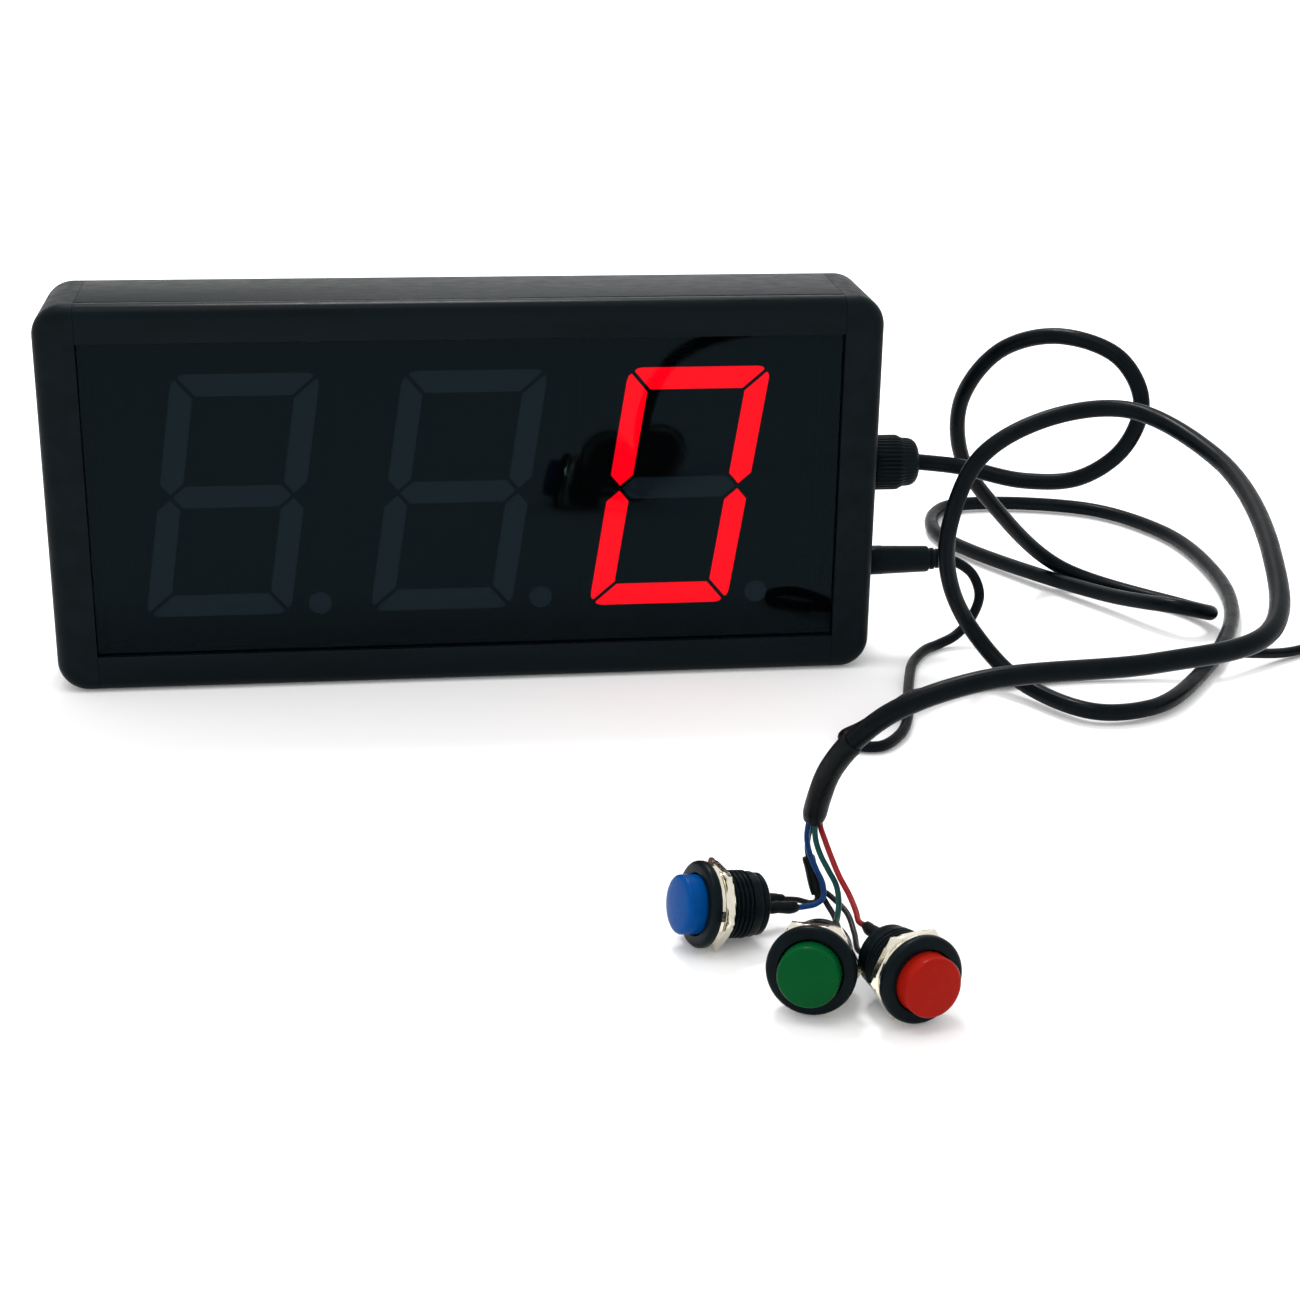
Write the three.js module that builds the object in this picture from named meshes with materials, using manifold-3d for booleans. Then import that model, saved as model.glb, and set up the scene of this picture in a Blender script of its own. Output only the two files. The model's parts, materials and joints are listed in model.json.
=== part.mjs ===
// Three-digit LED gym round timer: an extruded case with moulded end caps, a smoked window,
// three slanted seven-segment digits, a plug-in power lead, and a multicore control cable
// with three loose panel push-buttons.
//
// Millimetres, +Z up. The origin is the middle of the case's underside. The window faces -Y,
// and +X is to the viewer's right, where the cable gland and the power jack are.
import * as THREE from 'three';
import { mergeVertices } from 'three/addons/utils/BufferGeometryUtils.js';
import Module from 'manifold-3d';

const wasm = await Module();
wasm.setup();

// ---- driving dimensions -------------------------------------------------------------------

const GAP = 0.3;                 // clearance between pieces that touch on the real object

const CASE_WIDTH = 245;
const CASE_DEPTH = 40;
const CASE_HEIGHT = 116;
const CAP_WIDTH = 12;            // each moulded end cap, along X
const EDGE_RADIUS = 4;           // long edges of the rails and caps
const CORNER_RADIUS = 9;         // end caps' corners, seen from the front
const WALL = 1.8;
const LIP_HEIGHT = 11;           // frame above and below the window
const SLOT_DEPTH = 5;            // how far the window and rear cover reach into their slots

const WINDOW_THICKNESS = 3;
const COVER_THICKNESS = 2;
const BOARD_THICKNESS = 1.6;
const BOARD_FACE_Y = -1.5;       // front face of the display board

const DIGIT_COUNT = 3;
const MODULE_PITCH = 66;
const MODULE_WIDTH = 65.4;
const MODULE_HEIGHT = 91;
const MODULE_DEPTH = 12.5;
const MODULE_FACE_Y = -14.3;
const MODULE_FACE_THICKNESS = 3;
const DIGIT_WIDTH = 42.4;
const DIGIT_HEIGHT = 73.6;
const DIGIT_SHIFT = -3.2;        // digit's centre from its module's centre
const DIGIT_SLANT = THREE.MathUtils.degToRad(8.8);
const SEGMENT_WIDTH = 6.7;
const SEGMENT_GAP = 1;
const DIGIT_CORNER = 4;
const DOT_RADIUS = 3.5;
const DOT_PLACE = [21.2, -33.7];

const SCREW_PLACE = [6, 5.4];    // end-cap screws: Y, and Z above the underside or below the top
const SCREW_RADIUS = 1.2;
const SCREW_HEAD_RADIUS = 2.9;
const SCREW_HEAD_HEIGHT = 1.8;
const SCREW_RECESS = 5;          // clears the caps' rounded corners

const GLAND_Z = 60.3;
const JACK_Z = 28.5;
const CONTROL_CABLE = 5;         // diameters
const POWER_LEAD = 3.2;
const WIRE = 1.4;
const SLEEVE = 5.8;
const SPLICE = 3.2;

const BUTTON_THREAD = 16;
const BUTTON_FLANGE = 20.4;
const BUTTON_CAP = 14;
const BUTTON_NUT_FLATS = 19;

const COIL_RADIUS = 17.5;        // middle of the power lead's turns
const COIL_PLACE = [304, 8];
const COIL_LAYERS = 3;
const ADAPTER_SIZE = [42, 68, 30];
const ADAPTER_PLACE = [289, -64];

const CAP_INNER_X = CASE_WIDTH / 2 - CAP_WIDTH;
const CASE_FRONT_Y = -CASE_DEPTH / 2;
const CASE_BACK_Y = CASE_DEPTH / 2;
const WINDOW_FRONT_Y = CASE_FRONT_Y + WALL + 0.2;
const COVER_BACK_Y = CASE_BACK_Y - WALL - 0.2;
const DIGIT_Z = CASE_HEIGHT / 2;

// ---- routes of the flexible pieces --------------------------------------------------------

// Gland, standing loop, flat turns on the table, standing big loop, arch down to the buttons.
const CONTROL_CABLE_ROUTE = [
  [138.4, 0, 60.3], [152, -2, 59], [170, -12, 57], [185, -20, 60], [196, -26, 71],
  [200, -26, 85], [194, -20, 97], [179, -8, 101], [165, 5, 94], [157, 17, 76],
  [161, 28, 54], [176, 38, 33.5], [205, 50, 7], [238, 19, 3], [241, 4, 6],
  [230, 1, 9.3], [212, 29, 5], [175, 105, 3], [189, 137, 2.9], [238, 130, 2.9],
  [258, 100, 2.9], [261, 55, 2.9], [251, 10, 2.9], [223, -39, 2.9], [197, -67, 3.2],
  [178, -69, 3.6], [162, -47, 5.4], [152, -34, 15], [141, -41, 34], [137, -50, 55],
  [144, -52, 76], [162, -52, 87], [184, -57, 91], [199, -90, 86], [192, -150, 78],
  [176, -188, 71], [148, -196, 68.4], [107, -195, 65], [87.5, -193.7, 57.9], [79.4, -190.4, 49.8],
];
const END_SLEEVE_ROUTE = [
  [78.8, -190, 48.9], [76.4, -188.4, 45], [74, -186.3, 39.1], [72.5, -184.6, 33],
  [71.7, -182.9, 26.1],
];
const WIRE_ROUTES = {
  wire_blue: [
    [70.5, -183.3, 25.1], [70.4, -182.9, 21.5], [71, -183.4, 18], [72.4, -185.4, 14.4],
    [73.8, -187.2, 11.2], [73.6, -188.9, 8.5], [71.8, -189.4, 7.2], [69.8, -189.7, 6.9],
    [67.7, -190.1, 6.9],
  ],
  wire_green: [
    [71.9, -184.2, 25], [72, -185.4, 22], [72.8, -187.7, 19.2], [74.2, -190.6, 16.6],
    [75.6, -193.4, 14], [75.6, -197, 11.4], [74.6, -200.6, 9.4], [73.4, -204.2, 9.3],
  ],
  wire_red: [
    [73.4, -183.2, 24.8], [74, -186, 22.4], [74.9, -190.2, 19.6], [76, -194.6, 16.8],
    [77.6, -198.4, 14], [78.2, -203.6, 12.3], [78.1, -207.4, 11.6], [78.9, -209.8, 11.8],
  ],
};
// The black common wire: a trunk, a sleeved splice, and one branch to each button.
const COMMON_TRUNK = [
  [71.9, -181.4, 25.1], [71.2, -180.8, 21], [71, -181.2, 17.5], [71.8, -182.4, 13.5],
];
const COMMON_SPLICE = [[71.2, -181.5, 16], [71.8, -182.4, 13.5], [73, -185.6, 7.8]];
const COMMON_BRANCHES = [
  [[72.5, -184.2, 10], [73, -185.4, 6.4], [71.8, -183.6, 4.6], [68.6, -182.9, 5.2],
    [65.6, -183.3, 5.7]],
  [[72.5, -184.2, 10], [74.8, -187.6, 6.4], [76.2, -192, 4], [74.6, -197.5, 2.6],
    [71.2, -201.4, 2.6], [69.6, -204, 3.2]],
  [[72.5, -184.2, 10], [75.8, -187.2, 8], [78.6, -193, 6.4], [79, -200, 4.6],
    [78.2, -207.6, 4.4], [79.1, -210.4, 4.6]],
];
const POWER_LEAD_ROUTE = [
  [149.6, 0, 28.4], [154, 0, 27], [159.4, 0, 22.8], [161.8, -1, 16], [159.6, -1, 8.5],
  [154.4, -3, 3.6], [148.6, -5.5, 1.8], [143, -10, 1.7], [136.2, -21, 1.7],
  [132.6, -32, 1.7], [128.5, -47, 1.7], [123.4, -67, 1.7], [118.6, -77.5, 1.7],
  [111.4, -84.8, 1.7], [104.6, -83.4, 1.7], [102.4, -77, 1.7], [109, -70.6, 1.9],
  [118.5, -63, 3.4], [127.2, -56.6, 5.4], [137, -49.6, 3.4], [150, -42.4, 2],
  [179, -37, 1.8], [206, -36.5, 3], [226, -35.5, 8], [242, -30, 4.8], [256, -23.4, 2.1],
  [272, -16.4, 1.7], [290.8, -12.8, 1.7],
];
const POWER_LEAD_END_ROUTE = [
  [283.4, -4.2, 8.1], [284, -10, 8.1], [287.2, -17, 8], [289, -22.3, 8],
];

// ---- small geometry tools -----------------------------------------------------------------

/** A closed geometry as a solid that can be joined and cut. */
function solidOf(geometry) {
  const bare = geometry.clone();
  bare.deleteAttribute('normal');
  bare.deleteAttribute('uv');
  const merged = mergeVertices(bare, 1e-4);
  return new wasm.Manifold(new wasm.Mesh({
    numProp: 3,
    vertProperties: new Float32Array(merged.attributes.position.array),
    triVerts: new Uint32Array(merged.index.array),
  }));
}

/** A joined or cut solid back as a geometry. */
function geometryOf(solid) {
  const { numProp, vertProperties, triVerts } = solid.getMesh();
  const geometry = new THREE.BufferGeometry();
  const positions = new Float32Array((vertProperties.length / numProp) * 3);
  for (let i = 0; i < positions.length / 3; i += 1) {
    positions.set(vertProperties.subarray(i * numProp, i * numProp + 3), i * 3);
  }
  geometry.setAttribute('position', new THREE.BufferAttribute(positions, 3));
  geometry.setIndex(new THREE.BufferAttribute(new Uint32Array(triVerts), 1));
  geometry.computeVertexNormals();
  return geometry;
}

/** A box between two corners. */
function block(low, high) {
  const size = high.map((value, i) => value - low[i]);
  const middle = high.map((value, i) => (value + low[i]) / 2);
  return new THREE.BoxGeometry(...size).translate(...middle);
}

/** A closed outline in the YZ plane, drawn out along X. */
function extrudeAlongX(shape, from, to, curveSegments = 6) {
  const geometry = new THREE.ExtrudeGeometry(shape, {
    depth: to - from, bevelEnabled: false, curveSegments,
  });
  const axes = new THREE.Matrix4().makeBasis(
    new THREE.Vector3(0, 1, 0), new THREE.Vector3(0, 0, 1), new THREE.Vector3(1, 0, 0));
  return geometry.applyMatrix4(axes).translate(from, 0, 0);
}

/** A closed outline in the XZ plane, drawn out along +Y from a given Y. */
function extrudeAlongY(shape, from, to, curveSegments = 8) {
  const geometry = new THREE.ExtrudeGeometry(shape, {
    depth: to - from, bevelEnabled: false, curveSegments,
  });
  return geometry.rotateX(Math.PI / 2).translate(0, to, 0);
}

/** A profile of [radius, height] points turned about +Z. */
function turned(profile, sides = 24) {
  const points = profile.map(([radius, height]) => new THREE.Vector2(radius, height));
  return new THREE.LatheGeometry(points, sides).rotateX(Math.PI / 2);
}

/** A ring of rectangular section about +Z. */
function ring(inner, outer, low, high, sides = 24) {
  return turned([[inner, low], [outer, low], [outer, high], [inner, high], [inner, low]], sides);
}

/** A disc or rod about +Z. */
function rod(radius, low, high, sides = 24) {
  return turned([[0, low], [radius, low], [radius, high], [0, high]], sides);
}

/** The same, with its axis turned from +Z to +X and moved to a height on the right end. */
function onRightEnd(geometry, height) {
  return geometry.rotateY(Math.PI / 2).translate(0, 0, height);
}

/** A hexagonal ring about +Z with two flats level. */
function hexRing(flats, bore, low, high) {
  const hexagon = new THREE.Shape();
  for (let i = 0; i < 6; i += 1) {
    const angle = (i * Math.PI) / 3;
    const reach = flats / 2 / Math.cos(Math.PI / 6);
    hexagon[i ? 'lineTo' : 'moveTo'](reach * Math.cos(angle), reach * Math.sin(angle));
  }
  hexagon.closePath();
  hexagon.holes.push(new THREE.Path().absarc(0, 0, bore, 0, 2 * Math.PI, true));
  return new THREE.ExtrudeGeometry(hexagon, {
    depth: high - low, bevelEnabled: false, curveSegments: 12,
  }).translate(0, 0, low);
}

/** A round cable along a smooth curve through the given points. */
function cable(route, diameter, steps, sides) {
  const curve = new THREE.CatmullRomCurve3(
    route.map((point) => new THREE.Vector3(...point)), false, 'centripetal');
  const section = new THREE.Shape();
  for (let i = 0; i < sides; i += 1) {
    const angle = (i * 2 * Math.PI) / sides;
    const place = [(diameter / 2) * Math.cos(angle), (diameter / 2) * Math.sin(angle)];
    section[i ? 'lineTo' : 'moveTo'](...place);
  }
  section.closePath();
  return new THREE.ExtrudeGeometry(section, { steps, bevelEnabled: false, extrudePath: curve });
}

// ---- assembly -----------------------------------------------------------------------------

const timer = new THREE.Group();

const FINISHES = {
  anodised: { color: 0x202225, roughness: 0.45, metalness: 0.6 },
  moulded: { color: 0x17191b, roughness: 0.6, metalness: 0 },
  cover: { color: 0x1c1e20, roughness: 0.55, metalness: 0.3 },
  smoked: { color: 0x0b1113, roughness: 0.08, metalness: 0 },
  module_face: { color: 0x14181b, roughness: 0.6, metalness: 0 },
  segment_off: { color: 0x2a323b, roughness: 0.5, metalness: 0 },
  segment_lit: { color: 0xff1020, roughness: 0.5, metalness: 0 },
  board: { color: 0x14502a, roughness: 0.5, metalness: 0 },
  chip: { color: 0x111111, roughness: 0.5, metalness: 0 },
  header: { color: 0xe8e4d8, roughness: 0.5, metalness: 0 },
  steel: { color: 0xc9c7be, roughness: 0.3, metalness: 1 },
  jacket: { color: 0x15171a, roughness: 0.45, metalness: 0 },
  rubber: { color: 0x101112, roughness: 0.8, metalness: 0 },
  wire_blue: { color: 0x123f8c, roughness: 0.4, metalness: 0 },
  wire_green: { color: 0x0b5a44, roughness: 0.4, metalness: 0 },
  wire_red: { color: 0xb01420, roughness: 0.4, metalness: 0 },
  cap_blue: { color: 0x0b55b8, roughness: 0.35, metalness: 0 },
  cap_green: { color: 0x0c7a28, roughness: 0.35, metalness: 0 },
  cap_red: { color: 0xc81818, roughness: 0.35, metalness: 0 },
};

/** Adds one named sub-part. */
function add(name, geometry, finish, parent = timer) {
  const mesh = new THREE.Mesh(geometry, new THREE.MeshStandardMaterial(FINISHES[finish]));
  mesh.name = name;
  parent.add(mesh);
  return mesh;
}

// ---- case ---------------------------------------------------------------------------------

/** The rails' section: outer skin, window and cover slots, board groove and screw boss. */
function railSection() {
  const front = CASE_FRONT_Y;
  const back = CASE_BACK_Y;
  const top = CASE_HEIGHT;
  const ceiling = top - WALL;
  const lip = top - LIP_HEIGHT;
  const slotTop = top - SLOT_DEPTH;
  const windowBack = WINDOW_FRONT_Y + WINDOW_THICKNESS + GAP;
  const coverFront = COVER_BACK_Y - COVER_THICKNESS - GAP;
  const rib = 1.2;
  const decorY = front + EDGE_RADIUS + 1.2;
  const decorDepth = 0.5;
  const boardFront = BOARD_FACE_Y - GAP;
  const boardBack = BOARD_FACE_Y + BOARD_THICKNESS + GAP;
  const grooveBottom = ceiling - 3;
  const [screwY, screwInset] = SCREW_PLACE;
  const boss = 3.5;

  const section = new THREE.Shape();
  section.moveTo(front, lip);
  section.lineTo(front + WALL - 0.1, lip);
  section.lineTo(front + WALL - 0.1, slotTop);
  section.lineTo(windowBack, slotTop);
  section.lineTo(windowBack, lip);
  section.lineTo(windowBack + rib, lip);
  section.lineTo(windowBack + rib, ceiling);
  for (const y of [boardFront - rib, boardBack]) {
    section.lineTo(y, ceiling);
    section.lineTo(y, grooveBottom);
    section.lineTo(y + rib, grooveBottom);
    section.lineTo(y + rib, ceiling);
  }
  section.lineTo(screwY - boss, ceiling);
  section.lineTo(screwY - boss, top - screwInset - boss);
  section.lineTo(screwY + boss, top - screwInset - boss);
  section.lineTo(screwY + boss, ceiling);
  section.lineTo(coverFront - rib, ceiling);
  section.lineTo(coverFront - rib, lip + 1);
  section.lineTo(coverFront, lip + 1);
  section.lineTo(coverFront, slotTop);
  section.lineTo(back - WALL + 0.1, slotTop);
  section.lineTo(back - WALL + 0.1, lip + 1);
  section.lineTo(back, lip + 1);
  section.lineTo(back, top - EDGE_RADIUS);
  section.absarc(back - EDGE_RADIUS, top - EDGE_RADIUS, EDGE_RADIUS, 0, Math.PI / 2, false);
  section.lineTo(decorY + decorDepth, top);
  section.lineTo(decorY, top - decorDepth);
  section.lineTo(decorY - decorDepth, top);
  section.lineTo(front + EDGE_RADIUS, top);
  section.absarc(front + EDGE_RADIUS, top - EDGE_RADIUS, EDGE_RADIUS,
    Math.PI / 2, Math.PI, false);
  section.closePath();
  section.holes.push(new THREE.Path().absarc(
    screwY, top - screwInset, SCREW_RADIUS + GAP, 0, 2 * Math.PI, true));
  return section;
}

function addRails() {
  const reach = CAP_INNER_X - GAP;
  const upper = extrudeAlongX(railSection(), -reach, reach);
  add('upper_rail', upper, 'anodised');
  const lower = geometryOf(solidOf(upper).mirror([0, 0, 1]).translate([0, 0, CASE_HEIGHT]));
  add('lower_rail', lower, 'anodised');
}

/** A moulded end cap; side is 1 on the right and -1 on the left. */
function endCap(side) {
  const outerX = CASE_WIDTH / 2;
  const innerX = CAP_INNER_X;
  const hidden = 20;             // drawn past the inner face, then cut off
  const radius = CORNER_RADIUS;
  const outline = new THREE.Shape();
  outline.moveTo(innerX - hidden, 0);
  outline.lineTo(outerX - radius, 0);
  outline.absarc(outerX - radius, radius, radius, -Math.PI / 2, 0, false);
  outline.lineTo(outerX, CASE_HEIGHT - radius);
  outline.absarc(outerX - radius, CASE_HEIGHT - radius, radius, 0, Math.PI / 2, false);
  outline.lineTo(innerX - hidden, CASE_HEIGHT);
  outline.closePath();
  const body = new THREE.ExtrudeGeometry(outline, {
    depth: CASE_DEPTH - 2 * EDGE_RADIUS,
    curveSegments: 5,
    bevelEnabled: true,
    bevelThickness: EDGE_RADIUS,
    bevelSize: EDGE_RADIUS,
    bevelOffset: -EDGE_RADIUS,
    bevelSegments: 4,
  }).rotateX(Math.PI / 2).translate(0, CASE_BACK_Y - EDGE_RADIUS, 0);

  const floor = 2.5;             // thickness of the outer wall
  const slotX = innerX + SLOT_DEPTH;
  const slotLow = SLOT_DEPTH;
  const slotHigh = CASE_HEIGHT - SLOT_DEPTH;
  let cap = solidOf(body)
    .intersect(solidOf(block([innerX, -50, -10], [outerX + 10, 50, CASE_HEIGHT + 10])));
  const cuts = [
    block([innerX - 1, -11, LIP_HEIGHT], [outerX - floor, 13, CASE_HEIGHT - LIP_HEIGHT]),
    block([innerX - 1, CASE_FRONT_Y + WALL - 0.1, slotLow],
      [slotX, WINDOW_FRONT_Y + WINDOW_THICKNESS + GAP, slotHigh]),
    block([innerX - 1, COVER_BACK_Y - COVER_THICKNESS - GAP, slotLow],
      [slotX, CASE_BACK_Y - WALL + 0.1, slotHigh]),
  ];
  const [screwY, screwInset] = SCREW_PLACE;
  for (const z of [screwInset, CASE_HEIGHT - screwInset]) {
    const hole = rod(SCREW_RADIUS + 0.5, innerX - 1, outerX + 1, 12);
    const recess = rod(SCREW_HEAD_RADIUS + GAP, outerX - SCREW_RECESS, outerX + 1, 16);
    cuts.push(onRightEnd(hole, z).translate(0, screwY, 0));
    cuts.push(onRightEnd(recess, z).translate(0, screwY, 0));
  }
  if (side > 0) {
    cuts.push(onRightEnd(rod(6.3, innerX, outerX + 1, 24), GLAND_Z));
    cuts.push(onRightEnd(rod(4.3, innerX, outerX + 1, 24), JACK_Z));
  }
  for (const cut of cuts) {
    cap = cap.subtract(solidOf(cut));
  }
  return geometryOf(side > 0 ? cap : cap.mirror([1, 0, 0]));
}

function addCase() {
  addRails();
  add('left_end_cap', endCap(-1), 'moulded');
  add('right_end_cap', endCap(1), 'moulded');
  const slotReach = CAP_INNER_X + SLOT_DEPTH - GAP;
  const low = SLOT_DEPTH + GAP;
  const high = CASE_HEIGHT - SLOT_DEPTH - GAP;
  add('front_window', block(
    [-slotReach, WINDOW_FRONT_Y, low],
    [slotReach, WINDOW_FRONT_Y + WINDOW_THICKNESS, high]), 'smoked');
  add('rear_cover', block(
    [-slotReach, COVER_BACK_Y - COVER_THICKNESS, low],
    [slotReach, COVER_BACK_Y, high]), 'cover');
}

/** A pan-head screw, its head's top at the origin and its shank along -Z. */
function screw() {
  const length = 16;
  return turned([
    [0, -length], [SCREW_RADIUS * 0.6, -length], [SCREW_RADIUS, -length + 1.5],
    [SCREW_RADIUS, -SCREW_HEAD_HEIGHT], [SCREW_HEAD_RADIUS, -SCREW_HEAD_HEIGHT],
    [SCREW_HEAD_RADIUS, -0.8], [SCREW_HEAD_RADIUS * 0.7, 0], [0, 0],
  ], 12);
}

function addScrews() {
  const [screwY, screwInset] = SCREW_PLACE;
  const headTop = CASE_WIDTH / 2 - SCREW_RECESS + SCREW_HEAD_HEIGHT + GAP;
  for (const [sideName, side] of [['left', -1], ['right', 1]]) {
    for (const [endName, z] of [['upper', CASE_HEIGHT - screwInset], ['lower', screwInset]]) {
      const geometry = screw().rotateY((side * Math.PI) / 2);
      geometry.translate(side * headTop, screwY, z);
      add(`${sideName}_${endName}_cap_screw`, geometry, 'steel');
    }
  }
}

// ---- digits and electronics ---------------------------------------------------------------

/** Outlines of the seven segments and the dot, all edges moved in by shrink. */
function segmentOutlines(shrink) {
  const w = DIGIT_WIDTH / 2 - shrink;
  const h = DIGIT_HEIGHT / 2 - shrink;
  const t = SEGMENT_WIDTH - 2 * shrink;
  const k = (SEGMENT_GAP / 2 + shrink) * Math.SQRT2;
  const r = DIGIT_CORNER - shrink;
  const cut = r * (1 - Math.SQRT1_2);
  const arcPoint = (degrees) => {
    const angle = THREE.MathUtils.degToRad(degrees);
    return [-w + r + r * Math.cos(angle), h - r + r * Math.sin(angle)];
  };
  const mirrorX = (outline) => outline.map(([x, y]) => [-x, y]).reverse();
  const mirrorY = (outline) => outline.map(([x, y]) => [x, -y]).reverse();

  const halfTop = [[-w + t + k, h - t], [-w + cut + k, h - cut], arcPoint(112.5), [-w + r, h]];
  const top = [...halfTop, ...mirrorX(halfTop)];
  const upperLeft = [
    [-w + t, h - t - k], [-w + t, t / 2 + k], [-w + t / 2, k], [-w, t / 2 + k],
    [-w, h - r], arcPoint(157.5), [-w + cut, h - cut - k],
  ].reverse();
  const middle = [
    [-w + t / 2 + k, 0], [-w + t + k, t / 2], [w - t - k, t / 2],
    [w - t / 2 - k, 0], [w - t - k, -t / 2], [-w + t + k, -t / 2],
  ];
  const upright = [
    top, upperLeft, mirrorX(upperLeft), middle,
    mirrorY(upperLeft), mirrorX(mirrorY(upperLeft)), mirrorY(top),
  ];
  const slanted = upright.map((outline) => outline.map(
    ([x, y]) => [x + y * Math.tan(DIGIT_SLANT) + DIGIT_SHIFT, y]));
  const dot = [];
  for (let i = 0; i < 20; i += 1) {
    const angle = (i * 2 * Math.PI) / 20;
    dot.push([
      DOT_PLACE[0] + (DOT_RADIUS - shrink) * Math.cos(angle),
      DOT_PLACE[1] + (DOT_RADIUS - shrink) * Math.sin(angle),
    ]);
  }
  return [...slanted, dot];
}

/** A straight-sided prism on an XZ outline, between two values of Y. */
function prism(outline, from, to) {
  const shape = new THREE.Shape(outline.map(([x, y]) => new THREE.Vector2(x, y)));
  return extrudeAlongY(shape, from, to);
}

function addDigits() {
  const faceBack = MODULE_FACE_Y + MODULE_FACE_THICKNESS;
  const moduleBack = MODULE_FACE_Y + MODULE_DEPTH;
  const side = 2;
  const [halfWidth, halfHeight] = [MODULE_WIDTH / 2, MODULE_HEIGHT / 2];
  let housing = solidOf(block(
    [-halfWidth, MODULE_FACE_Y, -halfHeight], [halfWidth, moduleBack, halfHeight]));
  housing = housing.subtract(solidOf(block(
    [-halfWidth + side, faceBack, -halfHeight + side],
    [halfWidth - side, moduleBack + 1, halfHeight - side])));
  for (const outline of segmentOutlines(0)) {
    housing = housing.subtract(solidOf(prism(outline, MODULE_FACE_Y - 1, faceBack + 1)));
  }
  const slabFront = faceBack + GAP;
  let diffuser = solidOf(block(
    [-halfWidth + side + GAP, slabFront, -halfHeight + side + GAP],
    [halfWidth - side - GAP, slabFront + 1.5, halfHeight - side - GAP]));
  for (const outline of segmentOutlines(GAP)) {
    diffuser = diffuser.add(solidOf(prism(outline, MODULE_FACE_Y, slabFront + 0.5)));
  }
  for (let i = 0; i < DIGIT_COUNT; i += 1) {
    const x = (i - (DIGIT_COUNT - 1) / 2) * MODULE_PITCH;
    const lit = i === DIGIT_COUNT - 1;
    add(`digit_housing_${i + 1}`, geometryOf(housing), 'module_face').position.set(x, 0, DIGIT_Z);
    add(`digit_segments_${i + 1}`, geometryOf(diffuser), lit ? 'segment_lit' : 'segment_off')
      .position.set(x, 0, DIGIT_Z);
  }
}

function addElectronics() {
  const back = BOARD_FACE_Y + BOARD_THICKNESS;
  const edge = WALL + GAP;
  add('display_board', block(
    [-103, BOARD_FACE_Y, edge], [103, back, CASE_HEIGHT - edge]), 'board');
  const onBoard = back + GAP;
  add('controller_chip', block([-8, onBoard, 66], [8, onBoard + 2.4, 74]), 'chip');
  for (let i = 0; i < DIGIT_COUNT; i += 1) {
    const x = (i - (DIGIT_COUNT - 1) / 2) * 46 - 4;
    add(`digit_driver_${i + 1}`, block([x - 6, onBoard, 40], [x + 6, onBoard + 2, 47]), 'chip');
  }
  add('cable_header', block([84, onBoard, 40], [98, onBoard + 8, 48]), 'header');
  add('power_header', block([84, onBoard, 24], [94, onBoard + 7, 32]), 'header');
  add('inner_control_lead', cable(
    [[111.4, 0, GLAND_Z], [107, 2.6, 60.2], [100, 5, 59], [93.4, 5, 56.4], [91, 4.4, 49]],
    3.6, 16, 8), 'jacket');
  add('inner_power_lead', cable(
    [[109.2, 0, JACK_Z], [106, 1.4, JACK_Z], [101, 4, JACK_Z], [94.3, 4, 28]],
    2.4, 12, 8), 'jacket');
}

// ---- gland, jack, plug and power lead -----------------------------------------------------

function addGland() {
  const wallOut = CASE_WIDTH / 2;
  const bore = CONTROL_CABLE / 2 + 0.4;
  add('gland_body', onRightEnd(turned([
    [bore, 112], [6, 112], [6, wallOut + GAP], [8.5, wallOut + GAP], [8.5, wallOut + 2],
    [5.9, wallOut + 2], [5.9, wallOut + 9], [bore + 2.2, wallOut + 9],
    [bore + 2.2, wallOut + 4], [bore, wallOut + 4], [bore, 112],
  ]), GLAND_Z), 'moulded');
  add('gland_locknut', onRightEnd(
    hexRing(17, 6.3, wallOut - 5.8, wallOut - 2.8), GLAND_Z), 'moulded');
  add('gland_seal', onRightEnd(
    ring(bore, bore + 1.9, wallOut + 4.3, wallOut + 10.5), GLAND_Z), 'rubber');
  add('gland_cap_nut', onRightEnd(turned([
    [6.3, wallOut + 2.3], [8.5, wallOut + 2.3], [8.5, wallOut + 10], [7.5, wallOut + 11.8],
    [7.3, wallOut + 14.2], [6.3, wallOut + 15.6], [4.4, wallOut + 16.4],
    [bore, wallOut + 16.4], [bore, wallOut + 11], [6.3, wallOut + 10.8],
    [6.3, wallOut + 2.3],
  ]), GLAND_Z), 'moulded');
}

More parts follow.
